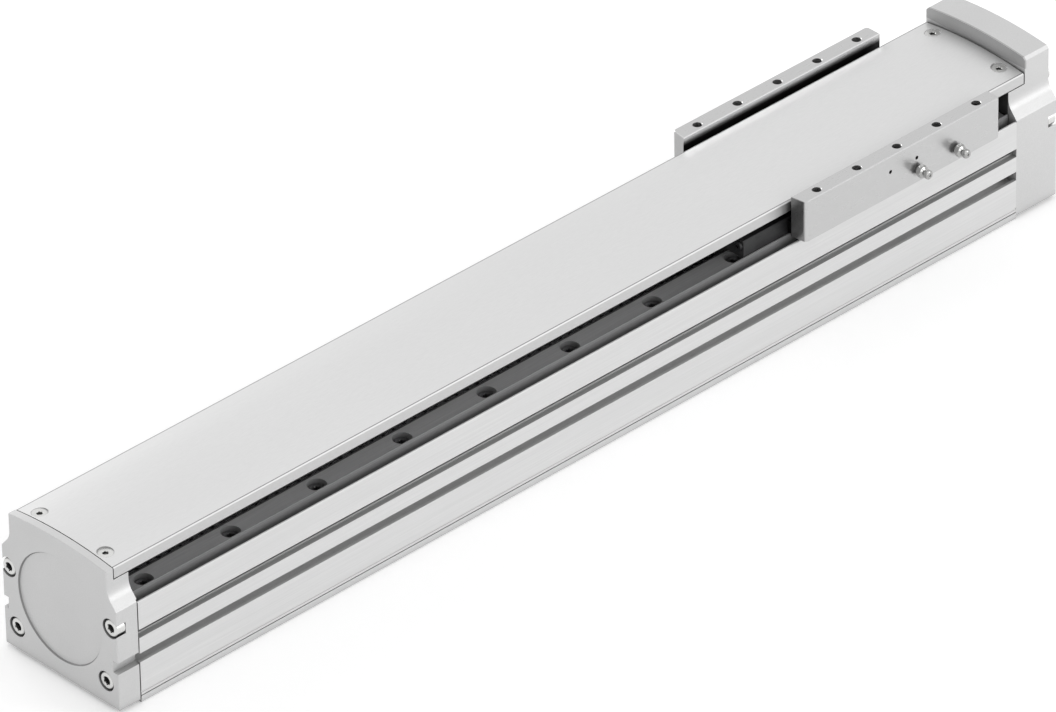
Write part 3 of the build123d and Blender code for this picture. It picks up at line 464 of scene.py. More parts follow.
def cover_shade(tree):
    """Painted shade: COVER_SIDE_SHADE on the long side faces of the cover, CREASE_SHADE on a
    thin line along the bevel of its edge, 1 on top."""
    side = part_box("cover_plate")[1].y
    distance = from_middle(tree, place_parts(tree)[1])
    crease = side - (COVER_BEVEL + CREASE_GAP) * MM
    line = between(tree, distance, crease - CREASE_WIDTH * MM, crease)
    start, full = (side - fade * MM for fade in COVER_SIDE_FADE)
    return multiply(tree, shade_where(tree, line, CREASE_SHADE),
                    remap(tree, distance, 1, COVER_SIDE_SHADE, start, full))


print(f"crease {CREASE_WIDTH} mm wide, {COVER_BEVEL + CREASE_GAP:.1f} mm inside the cover's edge")

# %% [markdown]
# Two faces of the end pieces get painted shade: the housing's hump where it looks back over
# the cover, and the sloping wall of the round recess; so do their faces that look into the
# channel. The recess wall is found by its depth and by its distance from the middle of the
# circle.

# %% Shade the end pieces
# painted shade on the hump's inner face and on the sloping wall of the recess
HUMP_SHADE, RECESS_SHADE = 0.65, 0.4
HUMP_FROM, HUMP_TO = -4.0, 2.4            # along X, from the end of the cover
HUMP_FADE = 0.1
RECESS_RADIUS, RECESS_HEIGHT, RECESS_DEPTH = 42.5, 58.4, 1.5
RECESS_TOP, RECESS_BOTTOM = 0.2, 0.15     # left out at the rim and at the bottom of the slope
RECESS_SOFT = 0.05
RECESS_FADE = (0.5, 0.6)                  # beyond the radius
CHANNEL_HALF, CHANNEL_REACH = 49.0, 0.3   # the end pieces' faces that look into the channel


def hump_mask(tree, x, z):
    """1 on the hump's face that stands over the end of the cover."""
    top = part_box("cover_plate")[1]
    along = between(tree, x, top.x + HUMP_FROM * MM, top.x + HUMP_TO * MM)
    return multiply(tree, along, remap(tree, z, 0, 1, top.z - HUMP_FADE * MM, top.z))


def recess_mask(tree, x, y, z):
    """1 on the sloping wall of the recess: sqrt(y^2 + (z - RECESS_HEIGHT)^2) within its radius."""
    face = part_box("idle_end_cap")[0].x
    deep = between(tree, x, face + RECESS_TOP * MM, face + (RECESS_DEPTH - RECESS_BOTTOM) * MM,
                   soft=RECESS_SOFT * MM)
    flat = tree.nodes.new("ShaderNodeCombineXYZ")
    tree.links.new(y, flat.inputs["Y"])
    tree.links.new(z, flat.inputs["Z"])
    radius = tree.nodes.new("ShaderNodeVectorMath")
    radius.operation = "DISTANCE"
    radius.inputs[1].default_value = (0, 0, RECESS_HEIGHT * MM)
    tree.links.new(flat.outputs[0], radius.inputs[0])
    start, stop = ((RECESS_RADIUS + fade) * MM for fade in RECESS_FADE)
    return multiply(tree, deep, remap(tree, radius.outputs["Value"], 1, 0, start, stop))


def end_piece_shade(tree):
    """Painted shade: HUMP_SHADE on the hump's inner face, RECESS_SHADE on the wall of the round
    recess, CHANNEL_SHADE on the faces that look into the channel, 1 elsewhere."""
    x, y, z = place_parts(tree)
    low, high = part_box("body_profile")
    inner = between(tree, x, low.x - CHANNEL_REACH * MM, high.x + CHANNEL_REACH * MM)
    inner = multiply(tree, inner, between(tree, y, -CHANNEL_HALF * MM, CHANNEL_HALF * MM))
    inner = multiply(tree, inner, between(tree, z, CHANNEL_FLOOR * MM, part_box("cover_plate")[0].z))
    shade = multiply(tree, shade_where(tree, hump_mask(tree, x, z), HUMP_SHADE),
                     shade_where(tree, recess_mask(tree, x, y, z), RECESS_SHADE))
    return multiply(tree, shade, shade_where(tree, inner, CHANNEL_SHADE))


print(f"recess of radius {RECESS_RADIUS} mm at a height of {RECESS_HEIGHT} mm")

# %% [markdown]
# The front end of a wing is not square: its inner corner stands ahead of the outer one. So the
# painted shade of its end face follows X less a share of the distance from the middle, and the
# right wing's end face gets darker painted shade than the left one's. The inner faces of the
# wings look at the cover: painted light at the top, and painted shade, nearly black, down at
# the cover.

# %% Shade the wings
# painted shade on the wings' end faces; on their inner faces painted shade low down, rising to
# painted light at the top
RIGHT_WING_SHADE, LEFT_WING_SHADE = 0.5, 0.76
INNER_WING_PAINTED_LIGHT, WING_FOOT_SHADE = 1.5, 0.06
WING_INSIDE, WING_NOSE, WING_THICKNESS = 54.0, 2.0, 13.0
WING_FOOT, WING_FADE = 8.7, 4.3           # the fade starts above the cover's underside
END_FADE = (0.1, 0.4)                     # a shade is full, and gone, this far from its face
PLATE_EDGE, WING_ROOM = 49.0, 50.0        # between them a side's shade rises from none to full
ROUNDING = 0.01                           # how exactly a point of the mesh lies on a face


def wing_start():
    """The least X among the slide's points that lie as far out as the inner faces of the wings."""
    body = nodes["slide_body"].data
    points = np.empty(3 * len(body.vertices))
    body.vertices.foreach_get("co", points)
    points = points.reshape(-1, 3)
    on_wings = np.abs(points[:, 1]) > (WING_INSIDE - ROUNDING) * MM
    return float(points[on_wings, 0].min())


def end_mask(tree, x, distance):
    """1 on the slanted end faces, where x - distance * WING_NOSE / WING_THICKNESS is least."""
    slope = WING_NOSE / WING_THICKNESS
    slant = tree.nodes.new("ShaderNodeMath")
    slant.operation = "MULTIPLY_ADD"
    slant.inputs[1].default_value = -slope
    tree.links.new(distance, slant.inputs[0])
    tree.links.new(x, slant.inputs[2])
    nose = wing_start() - WING_INSIDE * slope * MM
    start, stop = (nose + fade * MM for fade in END_FADE)
    return remap(tree, slant.outputs[0], 1, 0, start, stop)


def inner_face_shade(tree, z, distance):
    """Painted shade and light on the inner faces, from WING_FOOT_SHADE up to
    INNER_WING_PAINTED_LIGHT, and 1 further out.
    """
    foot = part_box("cover_plate")[0].z + WING_FOOT * MM
    rising = remap(tree, z, WING_FOOT_SHADE, INNER_WING_PAINTED_LIGHT, foot, foot + WING_FADE * MM)
    start, stop = ((WING_INSIDE + fade) * MM for fade in END_FADE)
    facing = tree.nodes.new("ShaderNodeMix")
    facing.inputs["B"].default_value = 1.0
    tree.links.new(remap(tree, distance, 0, 1, start, stop), facing.inputs["Factor"])
    tree.links.new(rising, facing.inputs["A"])
    return facing.outputs["Result"]


def wing_shade(tree):
    """Painted shade: RIGHT_WING_SHADE and LEFT_WING_SHADE on the end faces, the inner faces'
    painted shade and light, 1 elsewhere. The right wing is the one at negative Y."""
    x, y, z = place_parts(tree)
    distance = from_middle(tree, y)
    end = end_mask(tree, x, distance)
    right_hand = remap(tree, y, 1, 0, -WING_ROOM * MM, -PLATE_EDGE * MM)
    left_hand = remap(tree, y, 0, 1, PLATE_EDGE * MM, WING_ROOM * MM)
    shade = multiply(tree, shade_where(tree, multiply(tree, end, right_hand), RIGHT_WING_SHADE),
                     shade_where(tree, multiply(tree, end, left_hand), LEFT_WING_SHADE))
    return multiply(tree, shade, inner_face_shade(tree, z, distance))


print(f"the wings start at x = {wing_start() / MM:.1f} mm")

# %% [markdown]
# ## The metals, plastics and rubber of the axis
# The long profile is pressed through a die, which leaves fine lines along X. The cover is
# satin anodised, almost even. The two end pieces and the slide are cut from plate or cast,
# blasted and anodised, a little greyer. The rails are hardened and ground, much darker, and
# the rail screws are blackened. The carriages and the grey plastic are coloured nearly black:
# painted shade, for the deep shade under the slide. Each row gives the darkest and the
# lightest colour, how metallic it is, and its roughness.

# %% Mix the finishes
finishes = {
    "profile_aluminium": worked_metal(
        "extruded_aluminium", (0.65, 0.65, 0.65), (0.73, 0.73, 0.73), 0.35, (0.36, 0.46),
        periods=(60.0, 0.9, 0.9), broad=(220.0, 9.0, 9.0), bump=0.006,
        shade=channel_shade, crevice=0.45),
    "cover_aluminium": worked_metal(
        "satin_cover_aluminium", (0.68, 0.68, 0.68), (0.73, 0.73, 0.73), 0.6, (0.36, 0.42),
        periods=(6.0, 0.8, 0.8), broad=(300.0, 60.0, 60.0), bump=0.003, shade=cover_shade),
    "cast_aluminium": worked_metal(
        "blasted_end_aluminium", (0.58, 0.58, 0.58), (0.645, 0.645, 0.645), 0.5, (0.40, 0.50),
        periods=(0.8, 0.8, 0.8), broad=(40.0, 40.0, 40.0), bump=0.012,
        shade=end_piece_shade, crevice=0.35),
    "slide_aluminium": worked_metal(
        "milled_slide_aluminium", (0.54, 0.54, 0.54), (0.57, 0.57, 0.57), 0.9, (0.27, 0.31),
        periods=(9.0, 0.7, 0.7), broad=(50.0, 30.0, 30.0), bump=0.0004,
        shade=wing_shade, crevice=0.1, reach=3.5),
    "rail_steel": worked_metal(
        "ground_rail_steel", (0.44, 0.44, 0.445), (0.60, 0.60, 0.605), 0.5, (0.30, 0.42),
        periods=(30.0, 0.5, 0.5), broad=(120.0, 8.0, 8.0), bump=0.004,
        shade=rail_shade, crevice=0.75),
    # near black: painted shade for the carriages in the deep shade under the slide
    "carriage_steel": worked_metal(
        "carriage_steel_in_painted_shade", (0.016, 0.016, 0.017), (0.026, 0.026, 0.027), 0.3, (0.42, 0.52),
        periods=(4.0, 0.8, 0.8), broad=(40.0, 12.0, 12.0), bump=0.003),
    "rail_screw_steel": worked_metal(
        "blackened_rail_screw_steel", (0.07, 0.07, 0.071), (0.12, 0.12, 0.122), 0.8, (0.26, 0.36),
        periods=(0.7, 0.7, 0.7), broad=(6.0, 6.0, 6.0), bump=0.003, crevice=0.5, reach=4.0),
    "bearing_steel": worked_metal(
        "polished_bearing_steel", (0.44, 0.44, 0.45), (0.56, 0.56, 0.57), 1.0, (0.16, 0.26),
        periods=(1.5, 1.5, 1.5), broad=(20.0, 20.0, 20.0), bump=0.001),
    # a copy of the bearing steel that carries the painted shade of the thread in the channel
    "thread_steel": worked_metal(
        "ground_thread_steel", (0.44, 0.44, 0.45), (0.56, 0.56, 0.57), 1.0, (0.20, 0.30),
        periods=(1.5, 1.5, 1.5), broad=(20.0, 20.0, 20.0), bump=0.001, shade=thread_shade),
    "screw_steel": worked_metal(
        "plated_screw_steel", (0.60, 0.60, 0.59), (0.74, 0.74, 0.73), 0.95, (0.24, 0.36),
        periods=(0.7, 0.7, 0.7), broad=(6.0, 6.0, 6.0), bump=0.003, crevice=0.1, reach=7.0),
    "nipple_steel": worked_metal(
        "zinc_plated_nipple_steel", (0.34, 0.34, 0.335), (0.46, 0.46, 0.455), 1.0, (0.10, 0.20),
        periods=(0.9, 0.9, 0.9), broad=(5.0, 5.0, 5.0), bump=0.002, crevice=0.05, reach=6.0),
    # near black: painted shade for the plastic in the deep shade under the slide
    "grey_plastic": worked_metal(
        "moulded_grey_plastic_in_painted_shade", (0.014, 0.0145, 0.015), (0.022, 0.0225, 0.023), 0.0, (0.50, 0.62),
        periods=(0.5, 0.5, 0.5), broad=(14.0, 14.0, 14.0), bump=0.012),
    "black_rubber": worked_metal(
        "black_rubber", (0.018, 0.018, 0.019), (0.03, 0.03, 0.031), 0.0, (0.62, 0.75),
        periods=(0.6, 0.6, 0.6), broad=(10.0, 10.0, 10.0), bump=0.02),
}
print(len(finishes), "finishes mixed")

# %% [markdown]
# The record says which material slot each CAD node belongs to. A node whose shape is right
# stays as it is and only takes the better finish.

# %% Dress the CAD nodes
def dress(thing, slot):
    """Gives every material slot of a mesh object the finish of one named slot."""
    thing.data.materials.clear()
    thing.data.materials.append(finishes[slot])


slot_of_node = {part["node"]: part["material_slot"] for part in frame["record"]["subparts"]}
for node, slot in slot_of_node.items():
    dress(nodes[node], slot)
print(len(slot_of_node), "nodes dressed in", len(set(slot_of_node.values())), "finishes")

# %% [markdown]
# ## Round pieces as stacks of rings
# A screw, a nipple or a spindle is a stack of rings along one axis. Each ring has a height
# and an inner radius, and it is a circle or a hexagon or something between, so one function
# of two parameters, the ring's number and the angle, gives the whole surface: outside, top,
# socket and all. The first and the last ring are closed by a fan round their middle.

# %% Points and faces of rings
RING_POINTS = 48


def ring_points(radius, height, hexagon=0.0, knurl=0.0, count=RING_POINTS):
    """Points (radius * stretch * cos a, radius * stretch * sin a, height), ring by ring.
    The stretch of a hexagon is 1 / cos(a mod 60 - 30 degrees); knurl moves every other point in."""
    radius, height, hexagon, knurl = np.broadcast_arrays(radius, height, hexagon, knurl)
    angle = np.arange(count) * 2 * np.pi / count
    to_flat = np.mod(angle, np.pi / 3) - np.pi / 6
    stretch = 1 - hexagon[:, None] + hexagon[:, None] / np.cos(to_flat)
    stretch = stretch * (1 - knurl[:, None] * (np.arange(count) % 2))
    size = radius[:, None] * stretch
    level = np.broadcast_to(height[:, None], size.shape)
    return np.stack([size * np.cos(angle), size * np.sin(angle), level], axis=-1)


def ring_faces(ring_count, count):
    """Quads between neighbouring rings, and two fans round the middle points at the end."""
    first, along = np.meshgrid(np.arange(ring_count - 1) * count, np.arange(count), indexing="ij")
    here, following = first + along, first + (along + 1) % count
    quads = np.stack([here, following, following + count, here + count], axis=-1).reshape(-1, 4)
    around = np.arange(count)
    after = (around + 1) % count
    low, high, last = ring_count * count, ring_count * count + 1, (ring_count - 1) * count
    low_fan = np.stack([np.full(count, low), after, around], axis=-1)
    high_fan = np.stack([np.full(count, high), last + around, last + after], axis=-1)
    return quads, np.concatenate([low_fan, high_fan])


quads, fans = ring_faces(2, RING_POINTS)
print(f"two rings of {RING_POINTS} points close with {len(quads)} quads and {len(fans)} triangles")

# %% [markdown]
# Every new piece goes into the scene the same way: it gets its mesh, sharp edges where two
# faces meet at more than the crease angle, the finish of its slot or one named for it, and
# the body that it rides on, and the CAD nodes that it stands for are hidden. Screws come in
# sets, so one stack of rings is turned and copied to all its places at once.

# %% Put a piece in the scene, and repeat a stack of rings
def add_piece(name, body, slot, vertices, faces, crease=35, stands_for=(), finish=None):
    """Puts a mesh in the scene, in the slot's own finish where no other is named."""
    mesh = bpy.data.meshes.new(name)
    mesh.from_pydata(vertices.tolist(), [], faces)
    mesh.validate()
    mesh.shade_smooth()
    mesh.set_sharp_from_angle(angle=math.radians(crease))
    mesh.materials.append(finishes[finish or slot])
    piece = bpy.data.objects.new(name, mesh)
    bpy.context.scene.collection.objects.link(piece)
    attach(piece, body)
    if stands_for:
        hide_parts(*stands_for)
    print(f"{name}: {len(mesh.vertices)} points, {len(mesh.polygons)} faces")
    return piece


def repeat_rings(rings, places, turn=np.eye(3)):
    """The same stack of rings as one mesh, each point at place + turn * point."""
    count = rings.shape[1]
    vertices = np.concatenate([rings.reshape(-1, 3), rings[:1].mean(1), rings[-1:].mean(1)])
    quads, fans = ring_faces(len(rings), count)
    places = np.asarray(places, float)
    copies = (vertices @ np.asarray(turn, float).T)[None] + places[:, None]
    offsets = np.arange(len(places))[:, None, None] * len(vertices)
    faces = (quads[None] + offsets).reshape(-1, 4).tolist()
    faces += (fans[None] + offsets).reshape(-1, 3).tolist()
    return copies.reshape(-1, 3), faces


points, faces = repeat_rings(ring_points([1.0, 1.0], [0.0, 1.0]), [(0, 0, 0), (4, 0, 0)])
print(f"two pins from one stack of two rings have {len(points)} points and {len(faces)} faces")

# %% [markdown]
# ## Socket screws
# A cap screw is turned, knurled on the outside of its head, chamfered and then broached with
# a hexagon whose mouth is countersunk. All of that is a list of rings.

# %% Shape a cap screw
TOWARDS_IDLE = np.array([(0, 0, -1), (0, 1, 0), (1, 0, 0)], float)     # +Z becomes -X
TOWARDS_DRIVE = np.array([(0, 0, 1), (0, 1, 0), (-1, 0, 0)], float)    # +Z becomes +X


def cap_screw(shank, length, head, head_height, socket, knurl=0.0):
    """Rings of a cap screw: shank, washer face, knurled wall, chamfer, socket. A row gives a
    ring's radius and height in millimetres, how hexagonal it is, and its knurl."""
    flat = socket / 2
    rings = [
        (shank - 0.6, -length, 0, 0), (shank, 0.6 - length, 0, 0), (shank, 0, 0, 0),
        (head - 0.5, 0, 0, 0), (head - 0.1, 0.4, 0, 0), (head, 0.6, 0, knurl),
        (head, head_height - 1.1, 0, knurl), (head - 0.1, head_height - 0.8, 0, 0),
        (head - 0.75, head_height - 0.12, 0, 0), (head - 0.95, head_height, 0, 0),
        (flat * 1.16, head_height, 0, 0), (flat, head_height - 0.5, 1, 0),
        (flat, head_height * 0.45, 1, 0), (flat * 0.4, head_height * 0.45 - 0.8, 0, 0),
    ]
    radius, height, hexagon, rough = np.array(rings, float).T
    return ring_points(radius * MM, height * MM, hexagon, rough)


print("axes of the end screws:", TOWARDS_IDLE[:, 2], "and", TOWARDS_DRIVE[:, 2])

# %% [markdown]
# Four screws hold each end piece to the profile. The node's box gives the places of the upper
# pair and the height of the lower one, and the length of the screws.

# %% Screws of the two end pieces
M8_SHANK = 3.9
END_SCREW = dict(shank=M8_SHANK, head=6.5, head_height=8.0, socket=6.0, knurl=0.025)
LOWER_PAIR_Y = 45.2 * MM


def end_screw_places(node, seat_x):
    """The four end screws: the wide upper pair from the node's box, the lower pair nearer in."""
    low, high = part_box(node)
    head = END_SCREW["head"] * MM
    pairs = ((high.y - head, high.z - head), (LOWER_PAIR_Y, low.z + head))
    return [(seat_x, side * y, z) for side in (-1, 1) for y, z in pairs]


idle_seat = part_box("idle_cap_screws")[0].x + END_SCREW["head_height"] * MM
drive_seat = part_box("drive_housing_screws")[1].x - END_SCREW["head_height"] * MM
for name, node, seat_x, turn in (
    ("idle_cap_cap_screws", "idle_cap_screws", idle_seat, TOWARDS_IDLE),
    ("drive_housing_cap_screws", "drive_housing_screws", drive_seat, TOWARDS_DRIVE),
):
    reach = (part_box(node)[1].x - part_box(node)[0].x) / MM
    rings = cap_screw(length=reach - END_SCREW["head_height"], **END_SCREW)
    shape = repeat_rings(rings, end_screw_places(node, seat_x), turn)
    add_piece(name, "frame", "screw_steel", *shape, stands_for=[node])

# %% [markdown]
# The bearing cover is held by two flat-headed screws, and each rail by a long row of blackened
# ones at the bottom of their counterbores.

# %% Screws of the bearing cover and the rails
FACE_SCREW = dict(shank=2.9, head=6.5, head_height=2.2, socket=4.0)
RAIL_SCREW = dict(shank=M8_SHANK, length=24.0, head=6.5, head_height=5.0, socket=5.0)
RAIL_SCREW_COUNT = 11

low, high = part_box("drive_face_screws")
head, middle_z = FACE_SCREW["head"] * MM, (low.z + high.z) / 2
seat_x = high.x - FACE_SCREW["head_height"] * MM
rings = cap_screw(length=(seat_x - low.x) / MM, **FACE_SCREW)
places = [(seat_x, y, middle_z) for y in (low.y + head, high.y - head)]
shape = repeat_rings(rings, places, TOWARDS_DRIVE)
add_piece("drive_face_flat_screws", "frame", "screw_steel", *shape,
          stands_for=["drive_face_screws"])

for side in ("left", "right"):
    low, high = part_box(f"rail_screws_{side}")
    head = RAIL_SCREW["head"] * MM
    xs = np.linspace(low.x + head, high.x - head, RAIL_SCREW_COUNT)
    middle = np.full_like(xs, (low.y + high.y) / 2)
    seat = np.full_like(xs, high.z - RAIL_SCREW["head_height"] * MM)
    shape = repeat_rings(cap_screw(**RAIL_SCREW), np.column_stack([xs, middle, seat]))
    add_piece(f"rail_cap_screws_{side}", "frame", "carriage_steel", *shape,
              stands_for=[f"rail_screws_{side}"], finish="rail_screw_steel")

# %% [markdown]
# The cover is held by four countersunk screws. Their flat heads stand on the same stack of
# rings: a cone instead of a washer face, a thin rim, a flat top and the socket.

# %% Countersunk cover screws
COVER_SCREW_SHANK, COVER_SCREW_HEAD, COVER_SCREW_SOCKET = 2.9, 5.7, 4.0


def countersunk_screw(shank, length, head, socket):
    """Rings of a countersunk screw whose head ends at height 0: radius, height, hexagon."""
    flat, rim = socket / 2, 0.35
    rings = [
        (shank - 0.5, -length, 0), (shank, 0.5 - length, 0), (shank, shank - head - rim, 0),
        (head - 0.05, -rim, 0), (head, -rim + 0.05, 0), (head, -0.12, 0), (head - 0.12, 0, 0),
        (flat * 1.18, 0, 0), (flat, -0.35, 1), (flat, -2.2, 1), (flat * 0.4, -2.9, 0),
    ]
    radius, height, hexagon = np.array(rings, float).T
    return ring_points(radius * MM, height * MM, hexagon)


low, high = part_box("cover_screws")
length = (high.z - low.z) / MM
inset = COVER_SCREW_HEAD * MM
xs, ys = (low.x + inset, high.x - inset), (low.y + inset, high.y - inset)
rings = countersunk_screw(COVER_SCREW_SHANK, length, COVER_SCREW_HEAD, COVER_SCREW_SOCKET)
shape = repeat_rings(rings, [(x, y, high.z) for x in xs for y in ys])
add_piece("cover_flat_screws", "frame", "screw_steel", *shape, stands_for=["cover_screws"])

# %% [markdown]
# ## Grease nipples
# Two nipples are screwed into the side of the slide. A nipple is a hexagon with both ends
# chamfered round, a waist that the grease gun grips behind, and a round head with a hole at
# its tip. Its zinc plating is shinier than the screws', so it gets a finish of its own.

# %% Turn the nipples
NIPPLE_HEX = 4.3
NIPPLE_SPAN = 38.5
TOWARDS_RIGHT = np.array([(1, 0, 0), (0, 0, -1), (0, 1, 0)], float)    # +Z becomes -Y
nipple_rings = np.array([            # radius and height above the wall, and hexagon
    (2.4, -4.0, 0), (2.9, -3.5, 0), (2.9, 1.6, 0), (3.6, 1.9, 0), (4.3, 2.4, 0.4),
    (NIPPLE_HEX, 2.9, 1), (NIPPLE_HEX, 5.6, 1), (4.3, 6.1, 0.4), (3.7, 6.6, 0), (2.9, 7.1, 0),
    (2.3, 7.5, 0), (2.3, 8.1, 0), (2.9, 8.4, 0), (3.3, 8.8, 0), (3.4, 9.3, 0), (3.4, 11.3, 0),
    (3.15, 11.9, 0), (2.6, 12.3, 0), (2.0, 12.4, 0), (1.0, 12.4, 0), (0.8, 11.9, 0),
])
radius, height, hexagon = nipple_rings.T
low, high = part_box("grease_nipples")
wall_y = low.y + height.max() * MM
middle_x, middle_z = (low.x + high.x) / 2, (low.z + high.z) / 2
places = [(middle_x + side * NIPPLE_SPAN / 2 * MM, wall_y, middle_z) for side in (-1, 1)]
shape = repeat_rings(ring_points(radius * MM, height * MM, hexagon), places, TOWARDS_RIGHT)
add_piece("grease_nipple_pair", "slide", "screw_steel", *shape, crease=28,
          stands_for=["grease_nipples"], finish="nipple_steel")

# %% [markdown]
# ## The screw thread
# The groove of a ball screw is a helix with a round bottom that the balls fill. On the
# surface (x, angle) the groove keeps its shape along the lines x = start + lead * angle / 2
# pi, so the grid is skewed to run along them: a vertex carries a fixed distance from the
# groove's middle, and the radius depends on that distance alone. The skewed grid closes on
# itself because one full turn moves it on by exactly one lead. Near both ends the groove
# fades out, and points beyond an end are pushed back onto it and merged.

# %% Shape of the groove
LEAD = 20.0                      # millimetres a turn
STARTS = 2
GROOVE_BALL = 1.85
GROOVE_DEPTH = 1.3
SCREW_RADIUS = 10.0


def groove_depth(distance):
    """Depth of a circle of the ball's radius, sunk by GROOVE_DEPTH, at a distance from its
    middle: depth - radius + sqrt(radius^2 - across^2), and never below 0."""
    slope = math.cos(math.atan2(LEAD, 2 * math.pi * SCREW_RADIUS))
    across = np.minimum(np.abs(distance) * slope, GROOVE_BALL)
    return np.maximum(GROOVE_DEPTH - GROOVE_BALL + np.sqrt(GROOVE_BALL ** 2 - across ** 2), 0)


print(f"{STARTS} starts, lead {LEAD} mm, groove {groove_depth(0.0):.1f} mm deep")

# %% [markdown]
# The thread runs from the collar at the idle end to its run-out at the drive end. A point's
# neighbour round the screw lies in the next column, and across the seam a full lead further.

# %% Cut the thread
FADE = 6.0                       # the groove fades out over this length
TURN_POINTS = 36
STEP = 0.5                       # between two rows of the grid, along X
COLLAR_LENGTH, THREAD_RUN_OUT, END_BEVEL = 5.0, 4.0, 1.0

profile_low, profile_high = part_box("body_profile")
thread_low = profile_low.x / MM + COLLAR_LENGTH + END_BEVEL
thread_high = profile_high.x / MM + THREAD_RUN_OUT - END_BEVEL
steps_per_lead = round(LEAD / STEP)
row_count = int((thread_high - thread_low + LEAD) / STEP) + 2
base = thread_low - LEAD + STEP * np.arange(row_count)
angle = np.arange(TURN_POINTS) * 2 * np.pi / TURN_POINTS
x = base[:, None] + LEAD * angle[None] / (2 * np.pi)
pitch = LEAD / STARTS
phase = np.mod(base, pitch) - pitch / 2
fade = np.clip(np.minimum(x - thread_low, thread_high - x) / FADE, 0, 1)
thread_radius = SCREW_RADIUS - groove_depth(phase)[:, None] * np.sqrt(fade)
x = np.clip(x, thread_low, thread_high)
screw_z = (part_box("spindle")[0].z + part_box("spindle")[1].z) / 2 / MM
thread = np.stack([x, thread_radius * np.cos(angle), screw_z + thread_radius * np.sin(angle)], -1)
rows, columns = np.arange(row_count - steps_per_lead - 1), np.arange(TURN_POINTS)
row, column = np.meshgrid(rows, columns, indexing="ij")
wrap = column + 1 == TURN_POINTS
here = row * TURN_POINTS + column
beside = np.where(wrap, (row + steps_per_lead) * TURN_POINTS, here + 1)
thread_faces = np.stack([here, here + TURN_POINTS, beside + TURN_POINTS, beside], -1).reshape(-1, 4)
print(f"thread from {thread_low:.1f} to {thread_high:.1f} mm, {len(thread_faces)} faces")

# %% [markdown]
# The two plain ends are turned like any shaft: an outline of places along X and radii. The
# idle end has a groove for the retaining ring beside its bearing, and the drive end steps
# down from the seal to the bearings, the locknut and the shaft.

# %% Outline the plain ends
JOURNAL = dict(idle=6.0, groove=5.4, collar=7.6, seal=8.5, bearing=7.5, shaft=6.0)
RING_GROOVE, TIP_BEVEL = 1.2, 0.6
BEARING_WIDTH, SEAT_DEPTH, LOCKNUT_WIDTH = 9.0, 22.0, 7.5
spindle_low, spindle_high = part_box("spindle")
drive_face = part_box("drive_end_housing")[1].x / MM
idle_tip, shaft_tip = spindle_low.x / MM, spindle_high.x / MM
idle_face = profile_low.x / MM
bearing_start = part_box("idle_bearing_inner_ring")[0].x / MM
drive_start = drive_face - SEAT_DEPTH
shaft_start = drive_start + 2 * BEARING_WIDTH + LOCKNUT_WIDTH
idle_outline = [
    (idle_tip, JOURNAL["idle"] - TIP_BEVEL), (idle_tip + TIP_BEVEL, JOURNAL["idle"]),
    (bearing_start - RING_GROOVE, JOURNAL["idle"]),
    (bearing_start - RING_GROOVE, JOURNAL["groove"]),
    (bearing_start, JOURNAL["groove"]), (bearing_start, JOURNAL["idle"]),
    (idle_face, JOURNAL["idle"]), (idle_face, JOURNAL["collar"]),
    (thread_low - END_BEVEL, JOURNAL["collar"]),
    (thread_low - END_BEVEL, SCREW_RADIUS - END_BEVEL), (thread_low, SCREW_RADIUS),
]
drive_outline = [
    (thread_high, SCREW_RADIUS), (thread_high + END_BEVEL, SCREW_RADIUS - END_BEVEL),
    (thread_high + END_BEVEL, JOURNAL["seal"]), (drive_start, JOURNAL["seal"]),
    (drive_start, JOURNAL["bearing"]), (shaft_start, JOURNAL["bearing"]),
    (shaft_start, JOURNAL["shaft"]), (shaft_tip - END_BEVEL, JOURNAL["shaft"]),
    (shaft_tip, JOURNAL["shaft"] - END_BEVEL),
]
print(f"spindle from {idle_tip:.1f} to {shaft_tip:.1f} mm")

# %% [markdown]
# The ends' first rings have the same points as the thread's last ones, so merging doubles
# makes one closed surface of all three. Points that were pushed back onto an end of the
# thread leave faces without area, which are dissolved, and the normals are worked out anew.

# %% Join the thread and the plain ends
MERGE_DISTANCE = 0.001 * MM


def turned_end(outline, closed_first):
    """Rings (place, size * cos a, screw_z + size * sin a), closed at the free end by a fan."""
    place, size = np.array(outline).T
    rings = np.stack([
        np.broadcast_to(place[:, None], (len(place), TURN_POINTS)),
        size[:, None] * np.cos(angle), screw_z + size[:, None] * np.sin(angle),
    ], axis=-1)
    quads, fans = ring_faces(len(rings), TURN_POINTS)
    end = 0 if closed_first else 1
    tip = [(place[0 if closed_first else -1], 0.0, screw_z)]
    kept_fan = np.split(fans, 2)[end].copy()
    kept_fan[kept_fan >= rings.size // 3] = rings.size // 3
    return np.concatenate([rings.reshape(-1, 3), tip]), quads, kept_fan


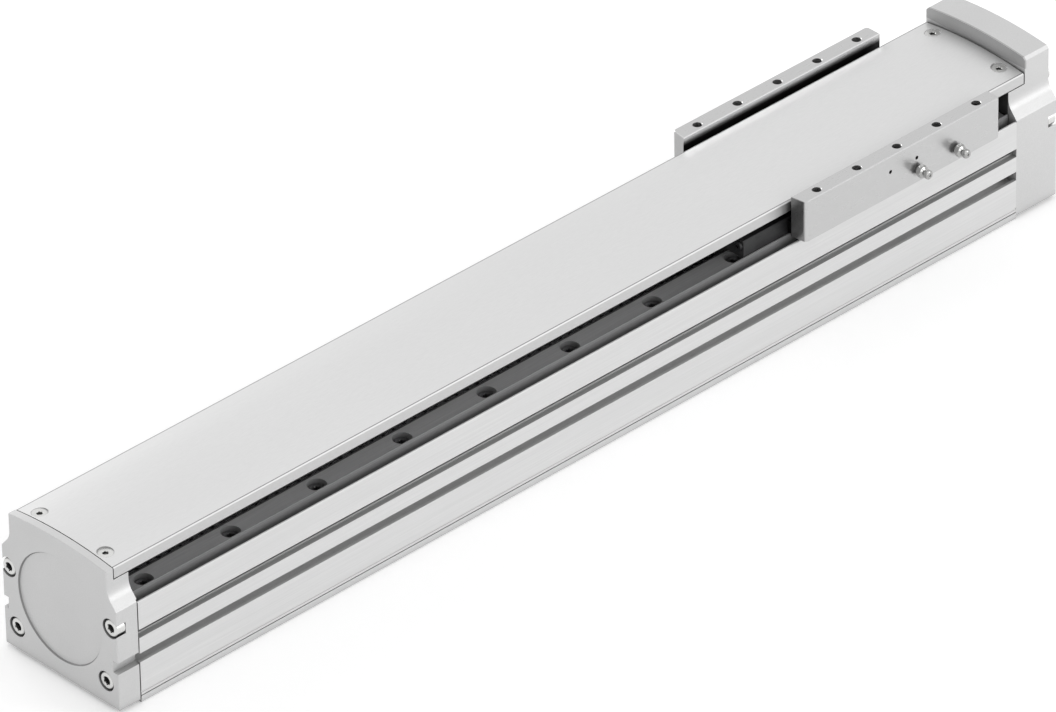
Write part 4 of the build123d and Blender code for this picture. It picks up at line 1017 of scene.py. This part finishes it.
vertices, faces = [thread.reshape(-1, 3)], thread_faces.tolist()
for outline, closed_first in ((idle_outline, True), (drive_outline, False)):
    offset = sum(len(block) for block in vertices)
    points, quads, fan = turned_end(outline, closed_first)
    vertices.append(points)
    faces += (quads + offset).tolist() + (fan + offset).tolist()
spindle_piece = add_piece("threaded_spindle", "spindle", "bearing_steel",
                          np.concatenate(vertices) * MM, faces, stands_for=["spindle"],
                          finish="thread_steel")
shell = bmesh.new()
shell.from_mesh(spindle_piece.data)
bmesh.ops.remove_doubles(shell, verts=shell.verts, dist=MERGE_DISTANCE)
bmesh.ops.dissolve_degenerate(shell, edges=shell.edges, dist=MERGE_DISTANCE)
bmesh.ops.recalc_face_normals(shell, faces=shell.faces)
print("open edges of the spindle:", sum(not edge.is_manifold for edge in shell.edges))
shell.to_mesh(spindle_piece.data)
shell.free()

# %% [markdown]
# ## Balls
# Each carriage rolls on two rows of steel balls. The CAD model has a plain bar for each row;
# here every ball is a small sphere, a stack of rings whose radius and height are the sine and
# cosine of one angle.

# %% Fill the ball rows
BALL_RADIUS = 1.9 * MM
RAIL_GAP = 0.3                   # between a rail and its carriages, with the balls in its middle
RACEWAY_HEIGHTS = (6.5, 14.5)    # above the foot of the rail
BALL_RINGS, BALL_POINTS = 7, 12
lift = np.linspace(0, np.pi, BALL_RINGS + 2)[1:-1]
ball = ring_points(BALL_RADIUS * np.sin(lift), -BALL_RADIUS * np.cos(lift), count=BALL_POINTS)
ball_places = []
for side, sign in (("left", 1), ("right", -1)):
    rail_low, rail_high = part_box(f"guide_rail_{side}")
    inner_face = min(abs(rail_low.y), abs(rail_high.y))
    row_y = sign * (inner_face - RAIL_GAP / 2 * MM)
    for place in ("front", "rear"):
        low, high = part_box(f"carriage_{place}_{side}")
        count = int((high.x - low.x) / (2 * BALL_RADIUS))
        xs = np.linspace(low.x + BALL_RADIUS, high.x - BALL_RADIUS, count)
        for height in RACEWAY_HEIGHTS:
            level = np.full_like(xs, rail_low.z + height * MM)
            ball_places.append(np.column_stack([xs, np.full_like(xs, row_y), level]))
shape = repeat_rings(ball, np.concatenate(ball_places))
add_piece("carriage_balls", "slide", "bearing_steel", *shape, crease=80, stands_for=["ball_rows"])

# %% [markdown]
# ## Closing the scene
# The last cell measures the box of the dressed part and prints how far it lies from the CAD
# box at most.

# %% Measure the boxes
dressed_box = [list(corner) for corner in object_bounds()]
difference = np.abs(np.subtract(dressed_box, cad_box)).max() / MM
print("largest difference of the boxes", round(difference, 3), "mm")
